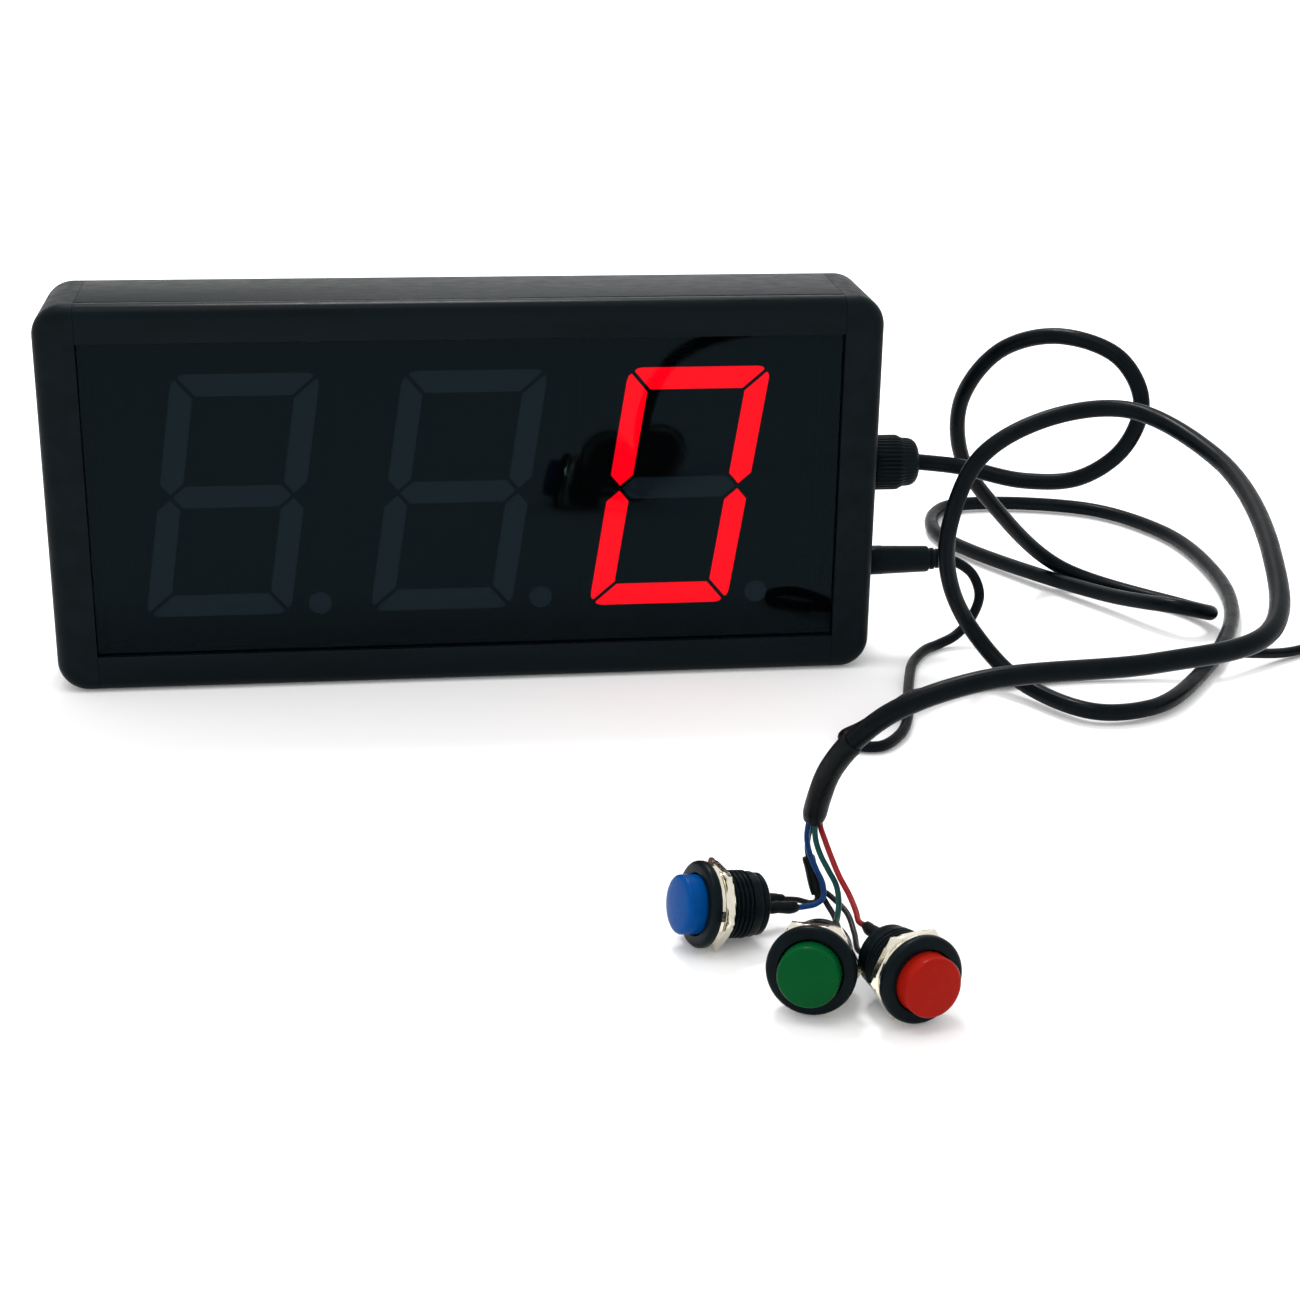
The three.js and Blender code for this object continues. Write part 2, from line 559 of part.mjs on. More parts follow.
function addPower() {
  const wallOut = CASE_WIDTH / 2;
  const jackFront = wallOut + 1.5;
  add('dc_jack', onRightEnd(turned([
    [0, 110], [4, 110], [4, wallOut + GAP], [5.2, wallOut + GAP], [5.2, jackFront],
    [3, jackFront], [3, wallOut - 9], [0.8, wallOut - 9], [0.8, wallOut - 1], [0, wallOut - 1],
  ]), JACK_Z), 'moulded');
  add('dc_jack_nut', onRightEnd(
    hexRing(11, 4.3, wallOut - 4.8, wallOut - 2.8), JACK_Z), 'steel');
  const plugFront = jackFront + GAP;
  add('dc_plug', onRightEnd(turned([
    [1.15, plugFront - 9], [2.7, plugFront - 9], [2.7, plugFront], [4.6, plugFront],
    [4.6, plugFront + 5], [4.1, plugFront + 20], [3.4, plugFront + 20.4],
    [3.4, plugFront + 21.6], [2.9, plugFront + 22], [2.4, plugFront + 24.6],
    [0, plugFront + 24.6], [0, plugFront - 1], [1.15, plugFront - 1], [1.15, plugFront - 9],
  ]), JACK_Z), 'moulded');
  add('power_lead', cable(POWER_LEAD_ROUTE, POWER_LEAD, 52, 8), 'jacket');
  add('power_lead_end', cable(POWER_LEAD_END_ROUTE, POWER_LEAD, 8, 8), 'jacket');

  const half = (COIL_LAYERS * POWER_LEAD) / 2;
  const height = COIL_LAYERS * POWER_LEAD;
  add('power_lead_coil', ring(COIL_RADIUS - half, COIL_RADIUS + half, 0.1, height, 28)
    .translate(...COIL_PLACE, 0), 'jacket');

  const [width, length, tall] = ADAPTER_SIZE;
  const [x, y] = ADAPTER_PLACE;
  const corner = 3;
  const outline = new THREE.Shape([
    [-1, -1], [1, -1], [1, 1], [-1, 1],
  ].flatMap(([sx, sy]) => {
    const end = new THREE.Vector2(sx * (width / 2), sy * (length / 2 - corner));
    const next = new THREE.Vector2(sx * (width / 2 - corner), sy * (length / 2));
    return sx * sy > 0 ? [next, end].reverse() : [next, end];
  }));
  let adapter = solidOf(new THREE.ExtrudeGeometry(outline, {
    depth: tall - 0.2, bevelEnabled: false,
  }).translate(0, 0, 0.2));
  for (const z of [tall / 2 - 6.3, tall / 2 + 6.3]) {
    adapter = adapter.add(solidOf(block(
      [-3.2, -length / 2 - 16, z - 0.75], [3.2, -length / 2 + 2, z + 0.75])));
  }
  adapter = adapter.add(solidOf(rod(3.4, 0, 8, 16).rotateX(-Math.PI / 2)
    .translate(0, length / 2 - 1, 8)));
  add('power_adapter', geometryOf(adapter).translate(x, y, 0), 'moulded');
}

// ---- push-buttons -------------------------------------------------------------------------

// Where each flange stands, the way it faces (from -Y toward -X), how far its face tips up,
// and how far its terminals are turned about its axis. Blue and green lie on the flange and
// the body's rear edge; the red one's rear is held up a little by its wires.
const BUTTONS = [
  { colour: 'blue', place: [44.4, -192.6], heading: 75, tilt: 9.6, roll: 10 },
  { colour: 'green', place: [63.6, -225.8], heading: 20, tilt: 9.6, roll: 60 },
  { colour: 'red', place: [86.2, -232.3], heading: -18, tilt: 5, roll: 90 },
];

/** The axis system of a button that lies on the table: +Z out of its face. */
function buttonFrame({ place, heading, tilt }) {
  const turn = THREE.MathUtils.degToRad(heading);
  const rise = THREE.MathUtils.degToRad(tilt);
  const flat = new THREE.Vector3(-Math.sin(turn), -Math.cos(turn), 0);
  const up = new THREE.Vector3(0, 0, 1);
  const out = flat.clone().multiplyScalar(Math.cos(rise)).addScaledVector(up, Math.sin(rise));
  const across = new THREE.Vector3().crossVectors(up, out).normalize();
  const over = new THREE.Vector3().crossVectors(out, across);
  const height = (BUTTON_FLANGE / 2) * Math.cos(rise) + 0.1;
  return new THREE.Matrix4().makeBasis(across, over, out).setPosition(...place, height);
}

function addButton(button) {
  const { colour } = button;
  const group = new THREE.Group();
  group.applyMatrix4(buttonFrame(button));
  timer.add(group);
  const flange = BUTTON_FLANGE / 2;
  const thread = BUTTON_THREAD / 2;
  const cap = BUTTON_CAP / 2;
  const bore = cap + GAP;

  add(`${colour}_button_housing`, turned([
    [bore, 2.4], [flange - 0.7, 2.4], [flange, 1.7], [flange, 0], [thread, 0],
    [thread, -12.2], [6.6, -12.2], [6.6, -6.4], [bore, -6.4], [bore, 2.4],
  ].reverse()), 'moulded', group);
  add(`${colour}_button_cap`, turned([
    [0, -8.4], [1.5, -8.4], [1.5, -2.6], [cap, -2.6], [cap, 6], [cap - 0.6, 6.7],
    [cap - 2.6, 7.05], [0, 7.2],
  ]), `cap_${colour}`, group);
  add(`${colour}_button_washer`, ring(thread + GAP, 9.7, -1.1, -GAP), 'steel', group);
  add(`${colour}_button_nut`, hexRing(BUTTON_NUT_FLATS, thread + GAP, -3.8, -1.4),
    'steel', group);

  const turns = 4.5;
  const coil = [];
  for (let i = 0; i <= turns * 12; i += 1) {
    const angle = (i * 2 * Math.PI) / 12;
    coil.push([4.2 * Math.cos(angle), 4.2 * Math.sin(angle), -10.4 + (7.2 * i) / (turns * 12)]);
  }
  add(`${colour}_button_spring`, cable(coil, 0.6, 60, 6), 'steel', group);

  let base = solidOf(turned([
    [0, -14], [7.4, -14], [7.4, -12.5], [6.3, -12.5], [6.3, -11], [0, -11],
  ]));
  for (const x of [-3.6, 3.6]) {
    base = base.add(solidOf(rod(1.6, -23, -13.5, 10).translate(x, 0, 0)));
  }
  const terminals = geometryOf(base).rotateZ(THREE.MathUtils.degToRad(button.roll));
  add(`${colour}_button_terminals`, terminals, 'moulded', group);
}

// ---- control cable's free end -------------------------------------------------------------

function addControlCable() {
  add('control_cable', cable(CONTROL_CABLE_ROUTE, CONTROL_CABLE, 80, 8), 'jacket');
  add('cable_end_sleeve', cable(END_SLEEVE_ROUTE, SLEEVE, 8, 12), 'rubber');
  for (const [name, route] of Object.entries(WIRE_ROUTES)) {
    add(name, cable(route, WIRE, 18, 8), name);
  }
  let common = solidOf(cable(COMMON_TRUNK, WIRE, 8, 8));
  common = common.add(solidOf(cable(COMMON_SPLICE, SPLICE, 5, 10)));
  for (const branch of COMMON_BRANCHES) {
    common = common.add(solidOf(cable(branch, WIRE, 14, 8)));
  }
  add('wire_common', geometryOf(common), 'jacket');
}

addCase();
addScrews();
addDigits();
addElectronics();
addGland();
addPower();
BUTTONS.forEach(addButton);
addControlCable();

export default timer;
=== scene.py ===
"""Looks for the gym round timer: materials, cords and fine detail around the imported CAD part.

Metres, in the part's own frame: origin in the middle of the case's underside, window towards -Y,
+X to the viewer's right, +Z up.
"""

import json
import math

import bmesh
import bpy
from mathutils import Matrix, Vector


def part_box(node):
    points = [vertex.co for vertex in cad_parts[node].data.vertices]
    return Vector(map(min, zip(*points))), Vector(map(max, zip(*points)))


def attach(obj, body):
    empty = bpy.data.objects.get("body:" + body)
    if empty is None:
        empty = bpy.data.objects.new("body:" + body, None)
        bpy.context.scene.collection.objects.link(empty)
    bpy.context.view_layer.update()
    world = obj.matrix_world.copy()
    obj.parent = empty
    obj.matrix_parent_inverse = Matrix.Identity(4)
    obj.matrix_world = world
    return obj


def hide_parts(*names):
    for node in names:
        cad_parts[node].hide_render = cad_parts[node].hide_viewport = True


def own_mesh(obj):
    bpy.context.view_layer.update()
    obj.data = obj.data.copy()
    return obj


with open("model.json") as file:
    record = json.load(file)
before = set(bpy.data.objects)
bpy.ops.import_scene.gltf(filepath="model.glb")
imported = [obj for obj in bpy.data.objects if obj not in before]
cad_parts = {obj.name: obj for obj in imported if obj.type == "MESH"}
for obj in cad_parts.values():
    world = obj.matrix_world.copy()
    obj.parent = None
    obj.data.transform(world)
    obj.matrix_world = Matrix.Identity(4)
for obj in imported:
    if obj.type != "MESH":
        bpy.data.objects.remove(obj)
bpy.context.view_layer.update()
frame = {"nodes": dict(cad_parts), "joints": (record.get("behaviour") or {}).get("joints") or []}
MM = 0.001
ROOT = "timer"
COLOURS = ("blue", "green", "red")


# ---- driving dimensions, in millimetres ------------------------------------------------------

# The case reaches from -CASE_END to CASE_END along X, and from -CASE_REACH to CASE_REACH along Y.
CASE_END = 122.5
CASE_REACH = 20.0
CASE_TOP = 116.0
CASE_EDGE = 4.0             # rounding along the long edges
CAP_INNER = 110.5           # where the end caps meet the rails
SCREW_HEIGHTS = (5.4, 110.6)
SCREW_Y = 6
CABLE_OUTLET_HEIGHT = 60.3
JACK_HEIGHT = 28.5

# Diameters.
CONTROL_CABLE = 5.0
POWER_LEAD = 3.2
WIRE = 1.4
SLEEVE = 5.8
SPLICE = 3.2

# Points along each cord.

CONTROL_CABLE_ROUTE = [
    (138.4, 0, 60.3), (152, -2, 59), (170, -12, 57), (185, -20, 60), (196, -26, 71),
    (200, -26, 85), (194, -20, 97), (179, -8, 101), (165, 5, 94), (157, 17, 76),
    (161, 28, 54), (176, 38, 33.5), (205, 50, 7), (238, 19, 3), (241, 4, 6),
    (230, 1, 9.3), (212, 29, 5), (175, 105, 3), (189, 137, 2.9), (238, 130, 2.9),
    (258, 100, 2.9), (261, 55, 2.9), (251, 10, 2.9), (223, -39, 2.9), (197, -67, 3.2),
    (178, -69, 3.6), (162, -47, 5.4), (152, -34, 15), (141, -41, 34), (137, -50, 55),
    (144, -52, 76), (162, -52, 87), (184, -57, 91), (199, -90, 86), (192, -150, 78),
    (176, -188, 71), (148, -196, 68.4), (107, -195, 65), (87.5, -193.7, 57.9), (79.4, -190.4, 49.8),
]
# The sleeve goes on from the cable's last point.
END_SLEEVE_ROUTE = [(76.4, -188.4, 45), (74, -186.3, 39.1), (72.5, -184.6, 33), (71.7, -182.9, 26.1)]
WIRE_ROUTES = {
    "wire_blue": [
        (71.6, -183.3, 31), (70.5, -183.3, 25.1), (70.4, -182.9, 21.5), (71, -183.4, 18),
        (72.4, -185.4, 14.4), (73.8, -187.2, 11.2), (73.6, -188.9, 8.5), (71.8, -189.4, 7.2),
        (69.8, -189.7, 6.9), (67.7, -190.1, 6.9), (65, -190.7, 7.1),
    ],
    "wire_green": [
        (72.2, -183.9, 31), (71.9, -184.2, 25), (72, -185.4, 22), (72.8, -187.7, 19.2),
        (74.2, -190.6, 16.6), (75.6, -193.4, 14), (75.6, -197, 11.4), (74.6, -200.6, 9.4),
        (73.4, -204.2, 9.3), (72.8, -205.9, 9.6),
    ],
    "wire_red": [
        (73.2, -183.2, 31), (73.4, -183.2, 24.8), (74, -186, 22.4), (74.9, -190.2, 19.6),
        (76, -194.6, 16.8), (77.6, -198.4, 14), (78.2, -203.6, 12.3), (78.1, -207.4, 11.6),
        (78.9, -209.8, 11.8), (79.5, -211.5, 12),
    ],
}
COMMON_SPLICE = [(71.2, -181.5, 16), (71.8, -182.4, 13.5), (73, -185.6, 7.8)]
COMMON_TO_RED_ROUTE = [
    (72.3, -182.2, 30), (71.9, -181.4, 25.1), (71.2, -180.8, 21), (71, -181.2, 17.5),
    (71.8, -182.4, 13.5), (72.5, -184.2, 10), (75.8, -187.2, 8), (78.6, -193, 6.4),
    (79, -200, 4.6), (78.2, -207.6, 4.4), (79.1, -210.4, 4.6), (79.7, -212.1, 4.8),
]
COMMON_BRANCHES = {
    "wire_common_to_blue": [
        (72.5, -184.2, 10), (73, -185.4, 6.4), (71.8, -183.6, 4.6), (68.6, -182.9, 5.2),
        (65.6, -183.3, 5.7), (63.7, -183.8, 6),
    ],
    "wire_common_to_green": [
        (72.5, -184.2, 10), (74.8, -187.6, 6.4), (76.2, -192, 4), (74.6, -197.5, 2.6),
        (71.2, -201.4, 2.6), (69.6, -204, 3.2), (69, -205.7, 3.5),
    ],
}
POWER_LEAD_ROUTE = [
    (149.6, 0, 28.4), (154, 0, 27), (159.4, 0, 22.8), (161.8, -1, 16), (159.6, -1, 8.5),
    (154.4, -3, 3.6), (148.6, -5.5, 1.8), (143, -10, 1.7), (136.2, -21, 1.7),
    (132.6, -32, 1.7), (128.5, -47, 1.7), (123.4, -67, 1.7), (118.6, -77.5, 1.7),
    (111.4, -84.8, 1.7), (104.6, -83.4, 1.7), (102.4, -77, 1.7), (109, -70.6, 1.9),
    (118.5, -63, 3.4), (127.2, -56.6, 5.4), (137, -49.6, 3.4), (150, -42.4, 2),
    (179, -37, 1.8), (206, -36.5, 3), (226, -35.5, 8), (242, -30, 4.8), (256, -23.4, 2.1),
    (272, -16.4, 1.7), (290.8, -12.8, 1.7),
]
POWER_LEAD_END_ROUTE = [
    (284, -10, 8.1), (287.2, -17, 8), (289, -22.3, 8), (289, -32, 8), (289, -46, 8),
]
COIL_CENTRE = (304, 8)
COIL_RADIUS = 17.5
COIL_TURNS = 6.75
COIL_FLOOR = 1.7            # height of the lowest turns' centre line
# Each turn's place in the coil, as (steps outwards from its mean radius, layer).
COIL_CELLS = [(1, 0), (0, 0), (-1, 0), (-1, 1), (0, 1), (1, 1), (1, 2)]

BUTTON_ROLL = {"blue": 10, "green": 60, "red": 90}    # terminals' turn about the axis


# ---- camera, floor and lights ----------------------------------------------------------------

def add_camera():
    """A camera a little left of the middle, looking down and slightly right."""
    place = Vector((-32.4, -660.3, 252.3)) * MM
    yaw, pitch, roll = 0.1343, 0.3612, 0.0170
    sensor_width = 36
    focal_per_width = 1.743077
    data = bpy.data.cameras.new("camera")
    data.sensor_width = sensor_width
    data.lens = sensor_width * focal_per_width
    data.clip_start = 0.01
    camera = bpy.data.objects.new("camera", data)
    turn = Matrix.Rotation(-yaw, 4, "Z") @ Matrix.Rotation(math.pi / 2 - pitch, 4, "X")
    camera.matrix_world = Matrix.Translation(place) @ turn @ Matrix.Rotation(roll, 4, "Z")
    bpy.context.scene.collection.objects.link(camera)
    bpy.context.scene.camera = camera


def add_area_light(name, place, target, size, power):
    data = bpy.data.lights.new(name, "AREA")
    data.shape = "DISK"
    data.size = size
    data.energy = power
    light = bpy.data.objects.new(name, data)
    aim = (Vector(target) - Vector(place)).to_track_quat("-Z", "Y")
    light.matrix_world = Matrix.Translation(place) @ aim.to_matrix().to_4x4()
    bpy.context.scene.collection.objects.link(light)


def add_lights():
    world = bpy.data.worlds.new("studio")
    world.use_nodes = True
    background = world.node_tree.nodes["Background"]
    background.inputs["Color"].default_value = (1, 1, 1, 1)
    background.inputs["Strength"].default_value = 1.06
    bpy.context.scene.world = world
    bpy.context.scene.view_settings.view_transform = "Standard"
    add_area_light("overhead", (-0.3, -0.35, 1.5), (0.05, -0.05, 0), 0.9, 5)
    add_area_light("edge", (0, 0.62, 1.25), (0, 0, 0.1), 0.35, 11)
    add_area_light("back", (0.25, 1.2, 0.9), (0.05, 0, 0.1), 0.7, 1)


def add_floor():
    bpy.ops.mesh.primitive_plane_add(size=14, location=(0, 0, -0.0002))
    floor = bpy.context.object
    floor.name = "floor"
    floor.data.materials.append(floor_finish())


# ---- materials -------------------------------------------------------------------------------

class Surface:
    """A Principled material with procedural tone, roughness and relief."""

    def __init__(self, name, colour, roughness, metallic=0.0, specular=0.3, alpha=1.0):
        self.material = bpy.data.materials.new(name)
        self.material.use_nodes = True
        self.tree = self.material.node_tree
        self.shader = self.tree.nodes["Principled BSDF"]
        self.colour = colour
        self.roughness = roughness
        self.put("Base Color", (*colour, 1))
        self.put("Roughness", roughness)
        self.put("Metallic", metallic)
        self.put("Specular IOR Level", specular)
        self.put("Alpha", alpha)
        self.material.diffuse_color = (*colour, alpha)
        self.relief = None

    def put(self, socket, value):
        self.shader.inputs[socket].default_value = value

    def node(self, kind, **values):
        made = self.tree.nodes.new(kind)
        for name, value in values.items():
            setattr(made, name, value)
        return made

    def link(self, source, target):
        self.tree.links.new(source, target)

    def place(self, stretch=(1, 1, 1)):
        """The piece's own coordinates in metres, scaled along each axis."""
        coordinates = self.node("ShaderNodeTexCoord")
        mapping = self.node("ShaderNodeMapping")
        mapping.inputs["Scale"].default_value = stretch
        self.link(coordinates.outputs["Object"], mapping.inputs["Vector"])
        return mapping.outputs["Vector"]

    def noise(self, grain, stretch=(1, 1, 1)):
        """A noise from 0 to 1 with features of about the grain's size, in millimetres."""
        noise = self.node("ShaderNodeTexNoise")
        noise.inputs["Scale"].default_value = 1 / (grain * MM)
        noise.inputs["Detail"].default_value = 3
        self.link(self.place(stretch), noise.inputs["Vector"])
        return noise.outputs["Fac"]

    def spread(self, value, low, high):
        """Maps a noise, which mostly runs from 0.3 to 0.7, onto a range of values."""
        mapped = self.node("ShaderNodeMapRange")
        mapped.inputs["From Min"].default_value = 0.3
        mapped.inputs["From Max"].default_value = 0.7
        mapped.inputs["To Min"].default_value = low
        mapped.inputs["To Max"].default_value = high
        self.link(value, mapped.inputs["Value"])
        return mapped.outputs["Result"]

    def tone(self, amount, grain, stretch=(1, 1, 1)):
        """Lightens and darkens the colour in soft patches."""
        mix = self.node("ShaderNodeMix", data_type="RGBA")
        factor = self.spread(self.noise(grain, stretch), 0, 1)
        self.link(factor, mix.inputs["Factor"])
        mix.inputs[6].default_value = (*[c * (1 - amount) for c in self.colour], 1)
        mix.inputs[7].default_value = (*[min(1, c * (1 + amount)) for c in self.colour], 1)
        self.link(mix.outputs[2], self.shader.inputs["Base Color"])
        return self

    def polish(self, amount, grain, stretch=(1, 1, 1)):
        """Varies the roughness in soft patches."""
        noise = self.noise(grain, stretch)
        low = max(0.02, self.roughness - amount)
        self.link(self.spread(noise, low, self.roughness + amount), self.shader.inputs["Roughness"])
        return self

    def bump(self, grain, height, stretch=(1, 1, 1)):
        """Adds relief of a grain size and a height, both in millimetres."""
        bump = self.node("ShaderNodeBump")
        bump.inputs["Strength"].default_value = 1.0
        bump.inputs["Distance"].default_value = height * MM
        self.link(self.noise(grain, stretch), bump.inputs["Height"])
        if self.relief is not None:
            self.link(self.relief, bump.inputs["Normal"])
        self.relief = bump.outputs["Normal"]
        self.link(self.relief, self.shader.inputs["Normal"])
        return self

    def tint_outside_only(self, alpha):
        """Gives a face its alpha where it is met from the outside, and leaves it clear inside."""
        geometry = self.node("ShaderNodeNewGeometry")
        mapped = self.node("ShaderNodeMapRange")
        mapped.inputs["To Min"].default_value = alpha
        mapped.inputs["To Max"].default_value = 0.0
        self.link(geometry.outputs["Backfacing"], mapped.inputs["Value"])
        self.link(mapped.outputs["Result"], self.shader.inputs["Alpha"])

    def glow(self, colour, strength):
        self.put("Emission Color", (*colour, 1))
        self.put("Emission Strength", strength)
        return self


def floor_finish():
    """White paper with a slight lift of its own, so that it renders as pure white."""
    surface = Surface("floor_paper", (0.9, 0.9, 0.9), 0.9, specular=0.1)
    return surface.bump(1.5, 0.02).glow((1, 1, 1), 0.1).material


def rail_finish():
    """Black anodised extrusion: drawn along X, with faint waviness."""
    surface = Surface("black_anodised", (0.0012, 0.0042, 0.0056), 0.32, specular=0.06)
    surface.tone(0.25, 9, stretch=(0.15, 1, 1)).polish(0.07, 1.5, stretch=(0.3, 1, 1))
    surface.bump(24, 0.06, stretch=(0.5, 1, 1))
    return surface.bump(0.4, 0.008, stretch=(0.3, 1, 1)).material


def moulded_finish(name="moulded_black", specular=0.06, roughness=0.44):
    """Black moulded plastic with a fine spark-eroded texture."""
    surface = Surface(name, (0.0016, 0.0046, 0.006), roughness, specular=specular)
    surface.tone(0.3, 7).polish(0.07, 3)
    return surface.bump(0.55, 0.035).material


def cover_finish():
    """Black powder-coated sheet."""
    surface = Surface("powder_coat", (0.003, 0.0052, 0.0062), 0.5, specular=0.12)
    surface.tone(0.2, 12).polish(0.08, 2)
    return surface.bump(0.7, 0.03).material


def window_finish():
    """Dark glossy acrylic that digits show through. All of its tint is on the faces met first."""
    opacity = 0.9
    surface = Surface("smoked_acrylic", (0.0008, 0.001, 0.0012), 0.03, specular=0.095,
                      alpha=opacity)
    surface.put("Specular Tint", (0.48, 0.84, 1, 1))
    surface.tint_outside_only(opacity)
    surface.polish(0.02, 18)
    return surface.bump(30, 0.01).material


def digit_face_finish():
    surface = Surface("digit_face", (0.0012, 0.0018, 0.002), 0.6, specular=0)
    surface.tone(0.12, 6).polish(0.06, 2)
    return surface.bump(0.3, 0.01).material


def unlit_finish():
    """Unlit diffusers: tinted epoxy with faint cloudiness, and a painted glow for the light they
    catch.
    """
    surface = Surface("segment_unlit", (0.03, 0.041, 0.061), 0.55, specular=0)
    # The faint blue glow is painted light: the unlit segments give no light of their own.
    surface.tone(0.06, 5).polish(0.08, 1.5).glow((0.39, 0.74, 1), 0.098)
    return surface.bump(0.25, 0.008).material


def lit_finish():
    """Lit diffusers. The glow is strong because the dark window takes most of it."""
    surface = Surface("segment_lit", (0.3, 0.002, 0.006), 0.5, specular=0)
    surface.tone(0.06, 4).bump(0.25, 0.008)
    return surface.glow((1, 0.0, 0.0075), 11.3).material


def board_finish():
    surface = Surface("solder_mask", (0.001, 0.003, 0.002), 0.35, specular=0.1)
    surface.tone(0.25, 1.6).polish(0.1, 1)
    return surface.bump(0.8, 0.02).material


def chip_finish():
    surface = Surface("chip_body", (0.012, 0.012, 0.013), 0.55, specular=0.3)
    surface.tone(0.2, 1)
    return surface.bump(0.15, 0.006).material


def header_finish():
    surface = Surface("header_nylon", (0.72, 0.69, 0.58), 0.45, specular=0.5)
    surface.tone(0.05, 2).polish(0.08, 1)
    return surface.bump(0.4, 0.008).material


def nickel_finish():
    """Bright nickel plate with drawn marks and a warm cast."""
    surface = Surface("nickel_plate", (0.72, 0.68, 0.57), 0.2, metallic=1.0)
    surface.tone(0.05, 2.5).polish(0.07, 1)
    return surface.bump(0.5, 0.006).material


def spring_finish():
    surface = Surface("spring_wire", (0.55, 0.55, 0.54), 0.3, metallic=1.0)
    surface.tone(0.1, 0.5).polish(0.08, 0.3)
    return surface.bump(0.2, 0.004).material


def black_oxide_finish():
    surface = Surface("black_oxide", (0.03, 0.031, 0.033), 0.35, metallic=1.0)
    surface.tone(0.2, 0.8).polish(0.1, 0.5)
    return surface.bump(0.3, 0.006).material


def jacket_finish(name="cable_jacket", roughness=0.31):
    """Black PVC: soft sheen with slight lay marks from the cores inside."""
    surface = Surface(name, (0.0012, 0.003, 0.0044), roughness, specular=0.055)
    surface.tone(0.25, 6).polish(0.08, 4)
    return surface.bump(6, 0.07).bump(0.4, 0.008).material


def shrink_finish():
    """Heat-shrunk tube: a lumpy satin skin."""
    surface = Surface("heat_shrink", (0.002, 0.0034, 0.0042), 0.4, specular=0.08)
    surface.tone(0.35, 1.6).polish(0.12, 1)
    return surface.bump(1.4, 0.12).bump(0.3, 0.01).material


def wire_finish(name, colour):
    surface = Surface(name, colour, 0.36, specular=0.14)
    surface.tone(0.2, 1.5).polish(0.1, 1)
    return surface.bump(0.8, 0.02).material


def button_cap_finish(name, colour):
    """Coloured moulded plastic with a soft sheen."""
    surface = Surface(name, colour, 0.26, specular=0.035)
    surface.tone(0.05, 5).polish(0.08, 2.5)
    return surface.bump(0.4, 0.004).bump(4, 0.03).material


def strap_finish():
    """Woven strap: matt and fuzzy."""
    surface = Surface("tie_strap", (0.012, 0.012, 0.013), 0.8, specular=0.15)
    return surface.tone(0.3, 0.6).bump(0.4, 0.05).material


def rubber_finish():
    surface = Surface("seal_rubber", (0.01, 0.01, 0.01), 0.8, specular=0.2)
    surface.tone(0.2, 1)
    return surface.bump(0.3, 0.01).material


# ---- mesh tools ------------------------------------------------------------------------------

def add_mesh(name, mesh, finish, body, slot, *nodes, smooth=40):
    """Links a mesh as a piece that rides on a body and may stand for CAD nodes."""
    piece = bpy.data.objects.new(name, mesh)
    bpy.context.scene.collection.objects.link(piece)
    mesh.materials.append(finish)
    mesh.shade_smooth()
    mesh.set_sharp_from_angle(angle=math.radians(smooth))
    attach(piece, body)
    if nodes:
        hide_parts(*nodes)
    return piece


def add_skin(name, rings, finish, body, slot, *nodes, closed_rows=False, smooth=40):
    """Adds a skin over rings of points as a piece."""
    skin = grid_mesh(name, rings, closed_rows)
    return add_mesh(name, skin, finish, body, slot, *nodes, smooth=smooth)


def stored(mesh, name):
    """Mesh data made from a bmesh, which is freed."""
    data = bpy.data.meshes.new(name)
    mesh.to_mesh(data)
    mesh.free()
    return data


def grid_mesh(name, rings, closed_rows=False):
    """A skin over equal rings of points, capped at the ends unless the rows close."""
    mesh = bmesh.new()
    rows = [[mesh.verts.new(point) for point in ring] for ring in rings]
    count = len(rows[0])
    pairs = list(zip(rows, rows[1:]))
    if closed_rows:
        pairs.append((rows[-1], rows[0]))
    for low, high in pairs:
        for i in range(count):
            j = (i + 1) % count
            mesh.faces.new((low[i], low[j], high[j], high[i]))
    if not closed_rows:
        mesh.faces.new(list(reversed(rows[0])))
        mesh.faces.new(rows[-1])
    bmesh.ops.recalc_face_normals(mesh, faces=mesh.faces)
    return stored(mesh, name)


def turned_rings(profile, sides, matrix, shape=None):
    """Rings of a profile of (radius, height) in mm about +Z; shape changes a radius by angle."""
    rings = []
    for radius, height in profile:
        ring = []
        for i in range(sides):
            angle = 2 * math.pi * i / sides
            reach = shape(radius, height, angle) if shape else radius
            point = Vector((reach * math.cos(angle), reach * math.sin(angle), height)) * MM
            ring.append(matrix @ point)
        rings.append(ring)
    return rings


def rounded(profile, radius, steps):
    """A profile with the corners between its ends rounded, by up to a radius."""
    points = [Vector(p) for p in profile]
    smooth = [tuple(points[0])]
    for before, corner, after in zip(points, points[1:], points[2:]):
        toward, away = before - corner, after - corner
        reach = min(radius, toward.length * 0.45, away.length * 0.45)
        start = corner + toward.normalized() * reach
        end = corner + away.normalized() * reach
        for i in range(steps + 1):
            t = i / steps
            smooth.append(tuple(start.lerp(corner, t).lerp(corner.lerp(end, t), t)))
    smooth.append(tuple(points[-1]))
    return smooth


